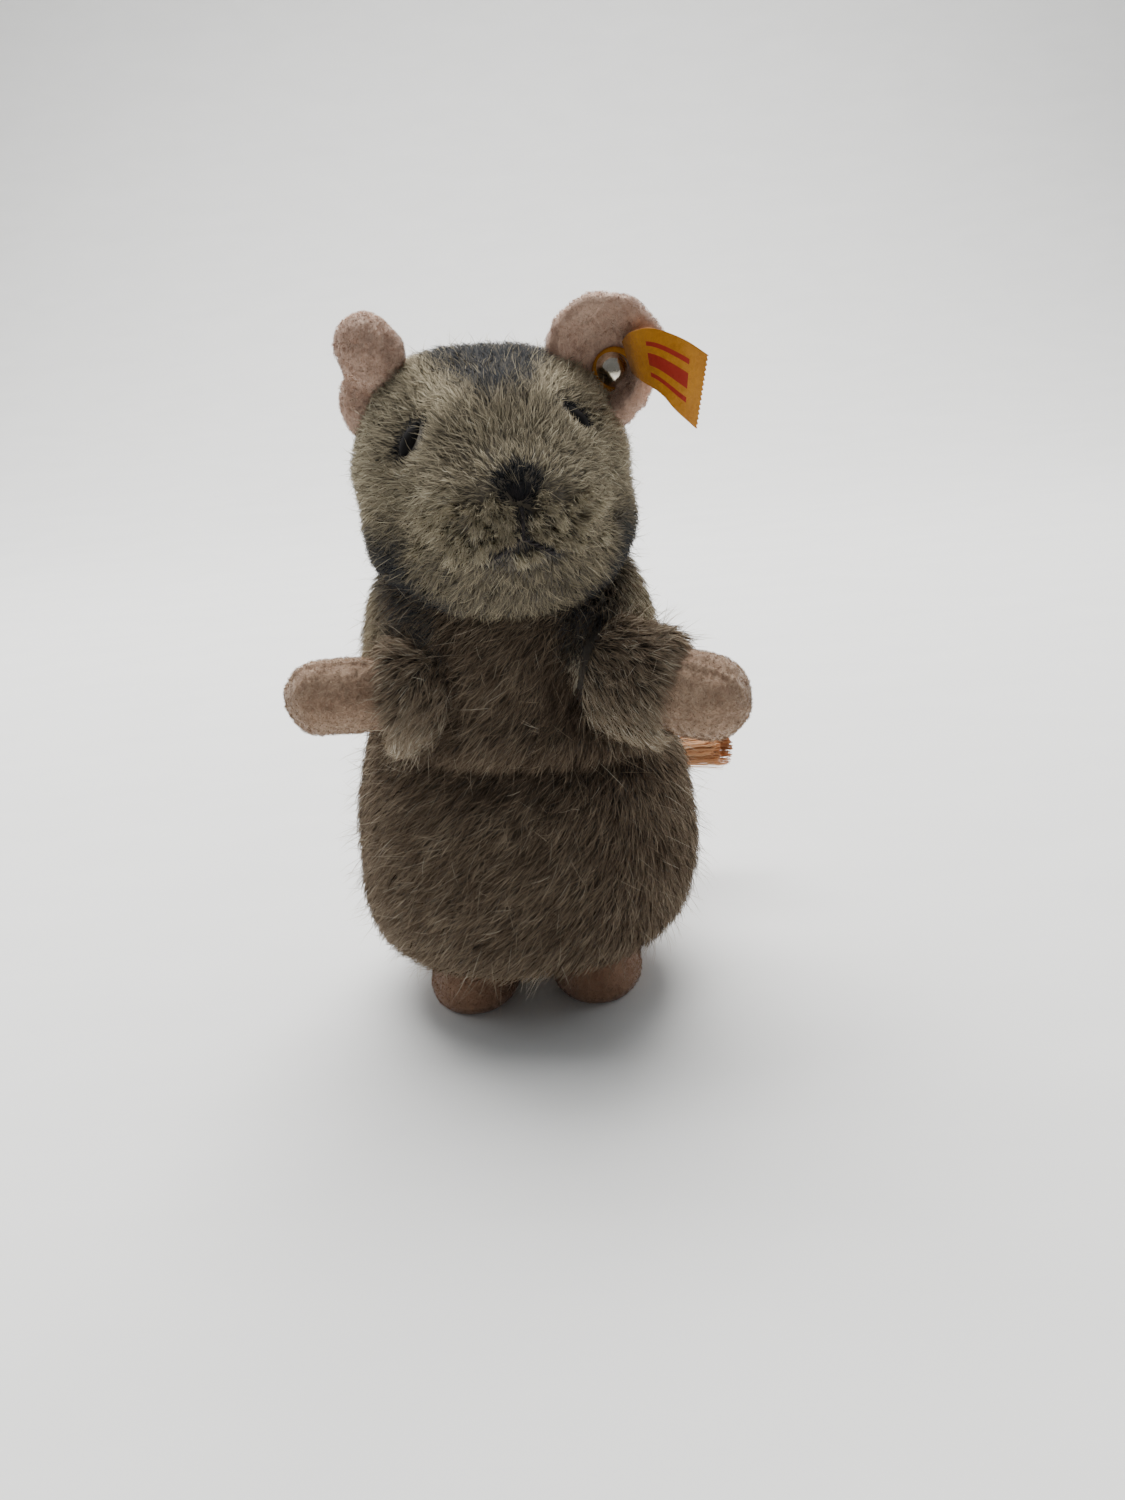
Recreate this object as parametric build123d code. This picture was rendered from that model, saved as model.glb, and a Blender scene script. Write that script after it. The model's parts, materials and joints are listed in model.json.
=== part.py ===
from build123d import *

import os
from math import cos, pi, radians, sin, tan

# Clockwork mouse: a pile-covered walking mouse with a key in its back and a wind-up movement inside.
# Millimetres. +Z is up, the mouse looks along -Y, and its own left side is +X.
# Everything is drawn about the mouse's upright axis, then moved along Y as it is written, so that the
# origin is the middle of the outer size (tail left out), on the surface the mouse stands on.

axis_y = -4.1

# Skin and stuffing. The trunk's side is three arcs, each from a start through a middle point to an end.
body_arcs = [
    ((21.5, 9.5), (25.9, 12.8), (27.6, 21.0)),
    ((27.6, 21.0), (26.4, 34.0), (23.2, 45.0)),
    ((23.2, 45.0), (21.6, 57.0), (15.5, 69.0)),
]
plush_wall = 3.2
bottom_cloth = 1.2
wadding_gap = 0.15
slot_bottom = 8.0
key_hole_radius = 5.0
# The hollow that holds the movement, as two boxes, and what the arms leave free of it.
room = ((-17.4, -13.4, 8.0), (17.4, 14.0, 46.2))
room_top = ((-13.0, -13.4, 30.0), (13.0, 9.0, 52.4))
arm_room = ((-13.2, -13.5, 12.0), (13.2, 13.2, 52.6))
head_turn = 6.0
skull_centre = (0.5, -1.5, 82.2)
skull_radius = 19.8
muzzle_centre = (0.5, -16.6, 79.0)
muzzle_radius = 13.2

# Face
eye_radius = 2.2
eye_places = {"right": (-9.3, -15.2, 89.0), "left": (11.4, -14.4, 90.5)}
shank_radius = 0.7
shank_length = 9.0
eye_washer_radius = 3.0
eye_washer_depths = (6.6, 7.6)
nose_centre = (0.5, -28.6, 83.6)
nose_radius = 2.0
nose_half_width = 1.6
thread_radius = 0.4
nose_tip = (0.6, -29.9, 82.4)
lip_place = (0.6, -29.0, 77.6)
mouth_corners = ((-3.6, -27.6, 75.6), (4.8, -27.6, 75.6))

# Ears
ear_radius = 9.2
ear_cup_radius = 14.0
ear_felt = 0.9
ear_planes = {
    "right": Plane(origin=(-16.2, -1.0, 96.8), x_dir=(0.25, -0.97, 0), z_dir=(-0.96, -0.25, 0.12)),
    "left": Plane(origin=(16.8, -2.4, 97.0), x_dir=(0.97, -0.25, 0), z_dir=(-0.25, -0.96, 0.12)),
}
button_place = (0.8, -1.4)
button_radius = 2.3
button_dome = 3.4
button_shank = 1.0
button_washer_radius = 2.6
tag_eye_radius = 3.3
tag_hole = 1.7
# The label's flag, from the foot of its neck round its two corners, in the plane of the ear.
tag_flag = [(2.3, -0.8), (6.5, -3.6), (10.8, -8.7), (12.8, 0.5), (6.4, 4.8), (2.7, 5.4), (0.8, 2.8)]
tag_thickness = 0.5
tag_rise = 21.0

# Arms: where each sleeve starts inside the body, and where the paw ends
sleeve_radius = 8.6
sleeve_lengths = {"right": 9.6, "left": 13.5}
paw_radii = {"right": 5.3, "left": 5.9}
paw_reach = {"right": 23.6, "left": 24.3}
paw_root = 8.0
arm_lines = {
    "right": ((-8.8, -13.0, 54.0), (-1.0, -0.10, 0.06)),
    "left": ((10.6, -12.6, 55.8), (0.86, -0.42, -0.20)),
}

# Feet and legs
foot_x = 10.4
foot_width = 13.4
foot_length = 26.0
foot_height = 7.5
foot_y = -0.5
sole_thickness = 1.2
board_thickness = 1.0
board_inset = 2.0
rivet_radius = 0.9
lever_x = 15.1
lever_thickness = 1.0
lever_width = 5.0
leg_swing = 6.0
pivot_head_radius = 1.9

# Movement
plate_x = 11.4
plate_thickness = 0.8
wheel_z = 34.0
mesh_y = 1.5
gear_module = 0.5
crown_teeth = 36
crank_teeth = 12
escape_teeth = 8
tooth_thickness = 0.58
tooth_add = 0.38
tooth_ded = 0.6
crown_face = 1.6
running_gap = 0.05
crank_y = mesh_y - gear_module * crank_teeth / 2
crank_z = wheel_z
escape_y = mesh_y - gear_module * escape_teeth / 2
crown_radius = gear_module * crown_teeth / 2
pivot_z = 22.0
crank_radius = (crank_z - pivot_z) * sin(radians(leg_swing))
arbor_radius = 1.5
shaft_radius = 1.0
pin_radius = 0.7
base_top = 12.2
pillar_ys = (-9.5, 10.0)
board_radius = 18.0
base_thickness = 1.5
hub_radius = 3.0
web_thickness = 1.0
web_holes = 5
web_hole_radius = 1.5
web_hole_ring = 5.4
collar_radius = 2.6
ratchet_teeth = 12
ratchet_tip = 3.9
ratchet_root = 3.1
ratchet_thickness = 0.9
spring_turns = 5.0
spring_inner = 2.5
spring_outer = 9.0
spring_thickness = 0.35
spring_width = 5.0
crank_reach = 13.1
crank_disc_radius = 3.0
crank_cap_radius = 2.4
escape_arbor_radius = 0.5
escape_wheel_teeth = 12
escape_wheel_root = 3.0
pallet_pin_radius = 0.6
pallet_hub_radius = 1.5
post_radius = 0.8
pillar_radius = 1.8
pillar_end_radius = 1.0
screw_radius = 0.7
screw_head_radius = 1.6
stud_radius = 0.6
middle_y = 5.4
rear_y = 12.2
shelf_z = 39.7
roof_z = 50.6
escape_wheel_z = 46.4
escape_wheel_radius = 4.6
pallet_y = escape_y - 6.6
pawl_x = 4.3
pawl_z = wheel_z + 5.6
pillar_z = 15.4
post_z = wheel_z + 10.3
key_square = 1.05

# Key and tail
key_lobe = 5.0
key_lobe_out = 6.2
key_end = 38.8
key_tilt = 30.0
key_sleeve_radius = 2.5
key_ring_hole = 2.5
key_bridge = 5.0
grommet_back = 25.8
grommet_flange_radius = 5.4
grommet_barrel_radius = 4.9
grommet_bore_radius = 3.2
tail_diameter = 4.0
tail_route = [
    (2.0, 20.5, 18.5),
    (5.5, 29.5, 19.3),
    (13.5, 35.0, 21.6),
    (24.0, 34.0, 24.0),
    (33.5, 29.0, 25.6),
]
tuft_length = 4.5
tuft_radius = 2.9

sides = {"right": -1, "left": 1}
nodes = {}


def rod(start, end, radius):
    """A straight round bar from one point to another."""
    start = Vector(*start)
    end = Vector(*end)
    plane = Plane(origin=start, z_dir=end - start)
    return plane.location * upright(radius, (end - start).length)


def upright(radius, height):
    """A cylinder that stands on the origin."""
    return Cylinder(radius, height, align=(Align.CENTER, Align.CENTER, Align.MIN))


def block(low, high):
    """A box from its lowest corner to its highest."""
    size = [high[i] - low[i] for i in range(3)]
    middle = [(high[i] + low[i]) / 2 for i in range(3)]
    return Pos(*middle) * Box(*size)


def turned(part, angle, centre=(0, 0, 0)):
    """A part turned about the upright line through a point."""
    return Pos(*centre) * Rot(0, 0, angle) * Pos(*[-c for c in centre]) * part


# ---------------------------------------------------------------- skin, head and limbs


def body_solid(inset, bottom):
    """The trunk, turned about its upright axis, with its side moved in and its bottom moved up."""
    arcs = []
    for points in body_arcs:
        arcs.append([(radius - inset, height) for radius, height in points])
    floor_z = body_arcs[0][0][1] + bottom
    arcs[0][1] = (arcs[0][1][0], arcs[0][1][1] + bottom * 0.7)
    roof_z = body_arcs[-1][-1][1] - inset
    lowest = (arcs[0][0][0], floor_z)
    highest = (arcs[-1][-1][0], roof_z)
    arcs[0][0] = lowest
    arcs[-1][-1] = highest
    edges = [ThreePointArc(*points) for points in arcs]
    edges.append(Line(highest, (0, roof_z)))
    edges.append(Line((0, roof_z), (0, floor_z)))
    edges.append(Line((0, floor_z), lowest))
    return revolve(Plane.XZ * make_face(edges), Axis.Z)


def head_solid(inset):
    """Two balls and the cone that touches both, turned about the line through their centres."""
    skull = Vector(*skull_centre)
    muzzle = Vector(*muzzle_centre)
    apart = (muzzle - skull).length
    big = skull_radius - inset
    small = muzzle_radius - inset
    lean = (big - small) / apart
    rise = (1 - lean**2) ** 0.5
    big_touch = (big * rise, big * lean)
    small_touch = (small * rise, apart + small * lean)
    outline = [
        ThreePointArc((0, -big), (big * cos(0.4), -big * sin(0.4)), big_touch),
        Line(big_touch, small_touch),
        ThreePointArc(small_touch, (small * cos(1.0), apart + small * sin(1.0)), (0, apart + small)),
        Line((0, apart + small), (0, -big)),
    ]
    shape = revolve(Plane.XZ * make_face(outline), Axis.Z)
    shape = Plane(origin=skull, z_dir=muzzle - skull).location * shape
    return turned(shape, head_turn)


def leg_slots(low, high):
    """The two slots that the leg levers swing in."""
    reach = lever_width / 2 + (pivot_z - low) * tan(radians(leg_swing)) + 0.7
    side = lever_thickness / 2 + 0.6
    return [
        block((s * lever_x - side, crank_y - reach, low), (s * lever_x + side, crank_y + reach, high))
        for s in sides.values()
    ]


def arm_plane(side):
    start, direction = arm_lines[side]
    return Plane(origin=start, z_dir=direction)


def sleeve_solid(side):
    """A barrel-shaped sleeve, wider at the middle."""
    sleeve_length = sleeve_lengths[side]
    curve = ThreePointArc(
        (sleeve_radius - 0.6, 0), (sleeve_radius, sleeve_length / 2), (sleeve_radius - 0.9, sleeve_length)
    )
    outline = make_face(
        [
            Line((0, 0), (sleeve_radius - 0.6, 0)),
            curve,
            Line((sleeve_radius - 0.9, sleeve_length), (0, sleeve_length)),
            Line((0, sleeve_length), (0, 0)),
        ]
    )
    return arm_plane(side).location * revolve(Plane.XZ * outline, Axis.Z)


def paw_solid(side):
    radius = paw_radii[side]
    straight = paw_reach[side] - radius - paw_root
    shape = upright(radius, straight) + Pos(0, 0, straight) * Sphere(radius)
    return arm_plane(side).location * Pos(0, 0, paw_root) * shape


def make_body():
    outer = body_solid(0, 0)
    inner = body_solid(plush_wall, bottom_cloth)
    slots = leg_slots(slot_bottom, base_top + 0.1)
    key_hole = rod((0, 10, wheel_z), (0, 30, wheel_z), key_hole_radius)
    arms = [sleeve_solid(side) + paw_solid(side) for side in sides]
    skin = outer - inner - slots[0] - slots[1] - key_hole - tail_solid() - arms[0] - arms[1]
    filling = body_solid(plush_wall + wadding_gap, bottom_cloth + wadding_gap)
    hollow = block(*room) + block(*room_top)
    filling = filling - block((-30, -30, 8), (30, 30, base_top + wadding_gap)) - (hollow + key_hole)
    filling = filling - tail_solid() - arms[0] - arms[1] - head_solid(0)
    nodes["body_plush"] = skin - head_solid(0)
    nodes["body_wadding"] = filling
    board = Pos(0, 0, base_top - base_thickness) * upright(board_radius, base_thickness)
    for slot in slots:
        board = board - slot
    for hole in plate_tabs():
        board = board - hole
    nodes["base_board"] = board - base_screw_solid()
    nodes["base_screws"] = base_screw_solid()


def make_head():
    whole = head_solid(0)
    stuffing = head_solid(plush_wall)
    skin = whole - stuffing
    washers = []
    beads = {}
    for side, place in eye_places.items():
        centre = Vector(*place)
        inward = (Vector(*skull_centre) - centre).normalized()
        shank = rod(place, tuple(centre + inward * shank_length), shank_radius)
        beads[side] = Plane(origin=centre, z_dir=inward).location * Sphere(eye_radius) + shank
        washer_ends = [tuple(centre + inward * depth) for depth in eye_washer_depths]
        washers.append(rod(*washer_ends, eye_washer_radius) - shank)
    nose_ends = [(nose_centre[0] + s * nose_half_width, nose_centre[1], nose_centre[2]) for s in (-1, 1)]
    nose = rod(nose_ends[0], nose_ends[1], nose_radius)
    for end in nose_ends:
        nose = nose + Pos(*end) * Sphere(nose_radius)
    nose = turned(nose, head_turn)
    threads = rod(nose_tip, lip_place, thread_radius) + Pos(*lip_place) * Sphere(thread_radius)
    for corner in mouth_corners:
        threads = threads + rod(lip_place, corner, thread_radius)
    threads = turned(threads, head_turn)
    for side in sides:
        skin = skin - beads[side] - ear_cup(side, 0, 2 * ear_felt + 0.05)
        stuffing = stuffing - beads[side] - ear_cup(side, 0, 2 * ear_felt + 0.05)
        nodes["eye_" + side] = beads[side]
    for washer in washers:
        skin = skin - washer
        stuffing = stuffing - washer
    nodes["eye_washers"] = washers[0] + washers[1]
    nodes["head_plush"] = skin - nose - threads - button_solid() - button_washer()
    nodes["head_wadding"] = stuffing - nose
    nodes["nose_stitching"] = nose
    nodes["mouth_stitching"] = threads - nose


def ear_cup(side, near, far):
    """A round piece cut from a hollow ball: the layer of the ear between two depths."""
    outer = Pos(0, 0, ear_rim()) * Sphere(ear_cup_radius + far)
    inner = Pos(0, 0, ear_rim()) * Sphere(ear_cup_radius + near)
    cutter = Pos(0, 0, -4) * Cylinder(ear_radius, 12)
    shell = (outer - inner) & cutter
    return ear_planes[side].location * shell


def ear_rim():
    """How far the ball's centre stands in front of the ear's rim."""
    return (ear_cup_radius**2 - ear_radius**2) ** 0.5


def button_seat():
    """Depth of the ear's inner face behind the rim, at the button."""
    off_axis = (button_place[0] ** 2 + button_place[1] ** 2) ** 0.5
    return ear_rim() - (ear_cup_radius**2 - off_axis**2) ** 0.5


def button_solid():
    seat = button_seat()
    shank = Pos(*button_place, seat - 0.6) * Cylinder(button_shank, 5.0)
    ball = Pos(*button_place, seat + 2.4 - button_dome) * Sphere(button_dome)
    dome = ball & (Pos(*button_place, seat + 1.2 + 1.5) * Cylinder(button_radius, 3.0))
    return ear_planes["left"].location * (shank + dome)


def button_washer():
    seat = button_seat() - 2 * ear_felt - 0.3
    ring = Cylinder(button_washer_radius, 0.5) - Cylinder(button_shank, 2.0)
    return ear_planes["left"].location * Pos(*button_place, seat - 0.25) * ring


def tag_solid():
    """A cloth label: a round end held by the button, and a flag over the ear's edge."""
    ring = Circle(tag_eye_radius) - Circle(tag_hole)
    flag = Polygon(*tag_flag, align=None) - Circle(tag_hole)
    plate = extrude(ring + flag, tag_thickness)
    lifted = Pos(*button_place, button_seat() + 0.75) * Rot(0, -tag_rise, 0) * plate
    return ear_planes["left"].location * lifted


def make_ears():
    for side in sides:
        front = ear_cup(side, 0, ear_felt)
        back = ear_cup(side, ear_felt + 0.05, 2 * ear_felt + 0.05)
        if side == "left":
            front = front - button_solid()
            back = back - button_solid()
        nodes["ear_front_" + side] = front
        nodes["ear_back_" + side] = back
    nodes["ear_button"] = button_solid()
    nodes["ear_button_washer"] = button_washer()
    nodes["ear_tag"] = tag_solid()


def make_arms():
    fillings = []
    for side in sides:
        # The paw's shank and the stuffing behind it fill the sleeve's bore.
        core = arm_plane(side).location * upright(paw_radii[side], paw_root - 0.2)
        bore = arm_plane(side).location * upright(paw_radii[side], sleeve_lengths[side] + 1)
        cavity = block(*arm_room)
        nodes["sleeve_" + side] = sleeve_solid(side) - bore - head_solid(0) - cavity
        nodes["paw_" + side] = paw_solid(side) - cavity
        fillings.append(core - cavity)
    nodes["arm_wadding"] = fillings[0] + fillings[1]


# ---------------------------------------------------------------- tail


def tail_radii():
    """Each bend's radius: 0.45 of the shorter run over the tangent of half the turn."""
    points = [Vector(*point) for point in tail_route]
    radii = []
    for before, corner, after in zip(points, points[1:], points[2:]):
        turn = (corner - before).get_angle(after - corner)
        shorter = min((corner - before).length, (after - corner).length)
        radii.append(0.45 * shorter / tan(radians(turn) / 2))
    return radii


def tail_solid():
    path = FilletPolyline(*tail_route, radius=tail_radii())
    start = Plane(origin=path @ 0, z_dir=path % 0)
    tube = sweep(start * Circle(tail_diameter / 2), path=path)
    return tube


def make_tail():
    nodes["tail_cord"] = tail_solid()
    last = Vector(*tail_route[-1])
    direction = (last - Vector(*tail_route[-2])).normalized()
    cone = Cone(tail_diameter / 2, tuft_radius, tuft_length, align=(Align.CENTER, Align.CENTER, Align.MIN))
    nodes["tail_tuft"] = Plane(origin=last, z_dir=direction).location * cone
    print("tail bend radii", [round(radius, 1) for radius in tail_radii()])
    length = FilletPolyline(*tail_route, radius=tail_radii()).length
    print("tail length", round(length, 1), "volume", round(nodes["tail_cord"].volume, 1))
    print("section times length", round(pi * tail_diameter**2 / 4 * length, 1))


# ---------------------------------------------------------------- feet and legs


def make_leg(side):
    s = sides[side]
    x = s * lever_x
    half = lever_thickness / 2
    board_top = sole_thickness + board_thickness
    flange_top = board_top + lever_thickness
    front = crank_y - lever_width / 2
    strip = block((x - half, front, board_top), (x + half, front + lever_width, crank_z + 4.2))
    slot = block((x - 1, crank_y - 0.8, crank_z - 2.4), (x + 1, crank_y + 0.8, crank_z + 2.4))
    hole = rod((x - 1, crank_y, pivot_z), (x + 1, crank_y, pivot_z), shaft_radius + running_gap)
    inner_edge = s * (foot_x - 4.4)
    flange = block(
        (min(inner_edge, x - s * half), crank_y - 5.0, board_top),
        (max(inner_edge, x - s * half), crank_y + 5.0, flange_top),
    )
    rivets = [
        rod((s * foot_x, y, sole_thickness), (s * foot_x, y, flange_top + 0.7), rivet_radius)
        for y in (crank_y - 3, crank_y + 3)
    ]
    lever = strip - slot - hole + flange
    outline = Rot(0, 0, 90) * SlotOverall(foot_length - 2 * board_inset, foot_width - 2 * board_inset)
    board = Pos(s * foot_x, foot_y, sole_thickness) * extrude(outline, board_thickness)
    shoe = extrude(Rot(0, 0, 90) * SlotOverall(foot_length, foot_width), foot_height)
    shoe = fillet(shoe.edges().group_by(Axis.Z)[-1], foot_height * 0.52)
    shoe = fillet(shoe.edges().group_by(Axis.Z)[0], 1.4)
    shoe = Pos(s * foot_x, foot_y, 0) * shoe
    for part in (lever, board, rivets[0], rivets[1]):
        shoe = shoe - part
    nodes["leg_lever_" + side] = lever - rivets[0] - rivets[1]
    nodes["foot_board_" + side] = board - rivets[0] - rivets[1]
    nodes["foot_rivets_" + side] = rivets[0] + rivets[1]
    nodes["foot_felt_" + side] = shoe


# ---------------------------------------------------------------- movement


def plate_tabs():
    """Four small tabs that hold the side plates to the base board."""
    half = plate_thickness / 2
    return [
        block((s * plate_x - half, y - 2, base_top - 1.3), (s * plate_x + half, y + 2, base_top))
        for s in sides.values()
        for y in (-7.0, 9.0)
    ]


def cross_tabs(grow):
    """Where the cross plates' tabs go through the side plates."""
    reach = plate_x + plate_thickness / 2
    thin = 0.4 + grow
    return [
        block((-reach, middle_y - thin, 28 - grow), (reach, middle_y + thin, 32 + grow)),
        block((-reach, middle_y - thin, 38 - grow), (reach, middle_y + thin, 42 + grow)),
        block((-reach, rear_y - thin, 21 - grow), (reach, rear_y + thin, 25 + grow)),
        block((-reach, rear_y - thin, 35 - grow), (reach, rear_y + thin, 39 + grow)),
        block((-reach, -9.0 - grow, shelf_z - thin), (reach, -6.0 + grow, shelf_z + thin)),
        block((-reach, -9.0 - grow, roof_z - thin), (reach, -6.0 + grow, roof_z + thin)),
    ]


def make_frame():
    half = plate_thickness / 2
    inner = plate_x - half
    for side, s in sides.items():
        low = block((s * plate_x - half, -12.2, base_top), (s * plate_x + half, 13.0, 42.0))
        high = block((s * plate_x - half, -12.2, 41.0), (s * plate_x + half, 7.4, 51.6))
        plate = low + high
        plate = plate - block((s * plate_x - 1, -9.0, 18.5), (s * plate_x + 1, -4.5, 29.0))
        plate = plate - block((s * plate_x - 1, 1.5, 18.5), (s * plate_x + 1, 9.5, 26.5))
        for tab in cross_tabs(running_gap):
            plate = plate - tab
        plate = plate - rod((-20, crank_y, crank_z), (20, crank_y, crank_z), shaft_radius + running_gap)
        plate = plate - rod((-20, crank_y, pivot_z), (20, crank_y, pivot_z), shaft_radius)
        plate = plate - frame_pillar_solid()
        for tab in plate_tabs():
            if tab.center().X * s > 0:
                plate = plate + tab
        nodes["side_plate_" + side] = plate
    tabs = cross_tabs(0)
    bearing = rod((0, 0, wheel_z), (0, 20, wheel_z), arbor_radius + running_gap)
    middle = block((-inner, middle_y - 0.4, 22), (inner, middle_y + 0.4, 47)) + tabs[0] + tabs[1]
    rear = block((-inner, rear_y - 0.4, 18), (inner, rear_y + 0.4, 42)) + tabs[2] + tabs[3]
    post = spring_post_solid()
    nodes["middle_plate"] = middle - bearing - post
    nodes["rear_plate"] = rear - bearing - post
    shelf = block((-inner, -11.6, shelf_z - 0.4), (inner, 0.75, shelf_z + 0.4))
    roof = block((-inner, -11.6, roof_z - 0.4), (inner, 2.0, roof_z + 0.4))
    wall = block((-inner, -12.2, shelf_z - 0.4), (inner, -11.4, roof_z + 0.4))
    bracket = shelf + roof + wall + tabs[4] + tabs[5]
    bracket = bracket - rod((0, escape_y, 38), (0, escape_y, 52), escape_arbor_radius + running_gap)
    bracket = bracket - rod((0, pallet_y, 38), (0, pallet_y, 52), pallet_pin_radius)
    nodes["escapement_bracket"] = bracket
    pin_ends = ((0, pallet_y, shelf_z - 0.7), (0, pallet_y, roof_z + 0.7))
    nodes["pallet_pin"] = rod(*pin_ends, pallet_pin_radius)
    nodes["frame_pillars"] = frame_pillar_solid() - base_screw_solid() + post


def frame_pillar_solid():
    """Two cross rods with thinner riveted ends."""
    inner = plate_x - plate_thickness / 2
    reach = plate_x + plate_thickness / 2 + 0.3
    thick = [rod((-inner, y, pillar_z), (inner, y, pillar_z), pillar_radius) for y in pillar_ys]
    thin = [rod((-reach, y, pillar_z), (reach, y, pillar_z), pillar_end_radius) for y in pillar_ys]
    return thick[0] + thick[1] + thin


def base_screw_solid():
    """Two countersunk screws up through the base board into the pillars."""
    bottom = base_top - base_thickness
    shanks = [rod((0, y, bottom), (0, y, pillar_z + 0.4), screw_radius) for y in pillar_ys]
    heads = [Pos(0, y, bottom + 0.4) * Cone(screw_head_radius, screw_radius, 0.8) for y in pillar_ys]
    return shanks[0] + shanks[1] + heads


def spring_post_solid():
    return rod((0, middle_y - 0.4, post_z), (0, rear_y - 1.0, post_z), post_radius)


def make_mainspring():
    """A flat coiled strip. Its outer end lies at the post, its inner end round the arbor."""
    steps = 60
    edges = []
    for offset in (0, spring_thickness):
        points = []
        for i in range(steps + 1):
            share = i / steps
            angle = radians(90) + 2 * pi * spring_turns * (share - 1)
            radius = spring_inner + (spring_outer - spring_inner) * share + offset
            points.append((radius * cos(angle), radius * sin(angle)))
        edges.append(Spline(*points))
    inner, outer = edges
    outline = make_face([inner, Line(inner @ 1, outer @ 1), outer, Line(outer @ 0, inner @ 0)])
    strip = extrude(outline, spring_width)
    nodes["mainspring"] = Pos(0, middle_y + 0.8 + spring_width, wheel_z) * Rot(90, 0, 0) * strip


def tooth_outline(pitch_radius):
    """Straight-sided pinion tooth, drawn along +X from the root to the tip."""
    root = pitch_radius - tooth_ded - 0.15
    tip = pitch_radius + tooth_add
    return Polygon(
        (root, -tooth_thickness * 0.62),
        (pitch_radius, -tooth_thickness / 2),
        (tip, -tooth_thickness * 0.24),
        (tip, tooth_thickness * 0.24),
        (pitch_radius, tooth_thickness / 2),
        (root, tooth_thickness * 0.62),
        align=None,
    )


def pinion_solid(teeth, width, bore, first):
    """A small gear about the local Z axis, centred on it, with one tooth at the angle given."""
    radius = gear_module * teeth / 2
    face = Circle(radius - tooth_ded)
    for k in range(teeth):
        face = face + Rot(0, 0, first + 360 * k / teeth) * tooth_outline(radius)
    return extrude(face - Circle(bore), width / 2, both=True)


def make_great_wheel():
    """Contrate wheel: its teeth stand on its front face and drive shafts across its own."""
    back = mesh_y + tooth_ded
    face = back + web_thickness
    web = rod((0, back, wheel_z), (0, face, wheel_z), crown_radius + 1.1)
    hub = rod((0, mesh_y - 0.4, wheel_z), (0, face + 0.1, wheel_z), hub_radius)
    wheel = web + hub - rod((0, -1, wheel_z), (0, 9, wheel_z), arbor_radius + running_gap)
    for k in range(web_holes):
        angle = 2 * pi * (k + 0.5) / web_holes
        x = web_hole_ring * cos(angle)
        z = wheel_z + web_hole_ring * sin(angle)
        wheel = wheel - rod((x, 0, z), (x, 6, z), web_hole_radius)
    foot_half = tooth_thickness * 0.65
    tip_half = tooth_thickness * 0.3
    foot_depth = tooth_ded + 0.1
    profile = Polygon(
        (-foot_half, foot_depth),
        (-tip_half, -tooth_add),
        (tip_half, -tooth_add),
        (foot_half, foot_depth),
        align=None,
    )
    # Drawn with the wheel's front towards -Y: across the tooth is Z, its height is Y, its length is X.
    inner_end = Plane(origin=(crown_radius - crown_face / 2, 0, 0), x_dir=(0, 0, 1), z_dir=(1, 0, 0))
    tooth = extrude(inner_end * Rot(0, 0, 180) * profile, crown_face)
    middle = Pos(0, mesh_y, wheel_z)
    wheel = wheel + [middle * Rot(0, (k + 0.5) * 360 / crown_teeth, 0) * tooth for k in range(crown_teeth)]
    stud = rod((pawl_x, face, pawl_z), (pawl_x, face + 1.5, pawl_z), stud_radius)
    nodes["great_wheel"] = wheel - rod((pawl_x, back, pawl_z), (pawl_x, face, pawl_z), stud_radius)
    nodes["click_stud"] = stud + rod((pawl_x, back + 0.2, pawl_z), (pawl_x, face, pawl_z), stud_radius)
    spring_low = (pawl_x - 4.6, face, pawl_z + 1.6)
    spring_high = (pawl_x + 0.5, face + 0.9, pawl_z + 1.8)
    nodes["click_spring"] = block(spring_low, spring_high)


def make_winding():
    front = mesh_y - 1.2
    square = Pos(0, 0, wheel_z) * Rot(0, key_tilt, 0) * square_solid()
    nodes["winding_arbor"] = rod((0, front, wheel_z), (0, 20.0, wheel_z), arbor_radius) + square
    nodes["arbor_collar"] = rod((0, front + 0.1, wheel_z), (0, front + 0.7, wheel_z), collar_radius) - rod(
        (0, front - 1, wheel_z), (0, front + 3, wheel_z), arbor_radius
    )
    points = []
    for k in range(ratchet_teeth):
        start = radians(360 * k / ratchet_teeth)
        points.append((ratchet_root * cos(start), ratchet_root * sin(start)))
        points.append((ratchet_tip * cos(start + 0.04), ratchet_tip * sin(start + 0.04)))
    ratchet = extrude(Polygon(*points, align=None) - Circle(arbor_radius), ratchet_thickness)
    back = mesh_y + tooth_ded + web_thickness + 0.25 + ratchet_thickness
    nodes["ratchet_wheel"] = Pos(0, back, wheel_z) * Rot(90, 0, 0) * ratchet
    nodes["winding_key"] = key_solid()


def square_solid():
    """The arbor's squared end, which the key's socket fits."""
    return block((-key_square, 20.0, -key_square), (key_square, 29.0, key_square))


def key_solid():
    """Butterfly key: a sleeve with a square socket, and two ringed wings."""
    sleeve = rod((0, 20.6, 0), (0, key_end - 6.0, 0), key_sleeve_radius) - square_solid()
    middle = key_end - key_lobe
    wings = Circle(1.0)
    for s in (-1, 1):
        wings = wings + Pos(s * key_lobe_out, 0) * Circle(key_lobe)
    wings = wings + Rectangle(2 * key_lobe_out, key_bridge)
    for s in (-1, 1):
        wings = wings - Pos(s * key_lobe_out, 0) * Circle(key_ring_hole)
    plate = Pos(0, middle, 0) * extrude(wings, 0.6, both=True)
    key = sleeve + (plate - rod((0, 20, 0), (0, 29.5, 0), 2.4))
    return Pos(0, 0, wheel_z) * Rot(0, key_tilt, 0) * key


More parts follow.
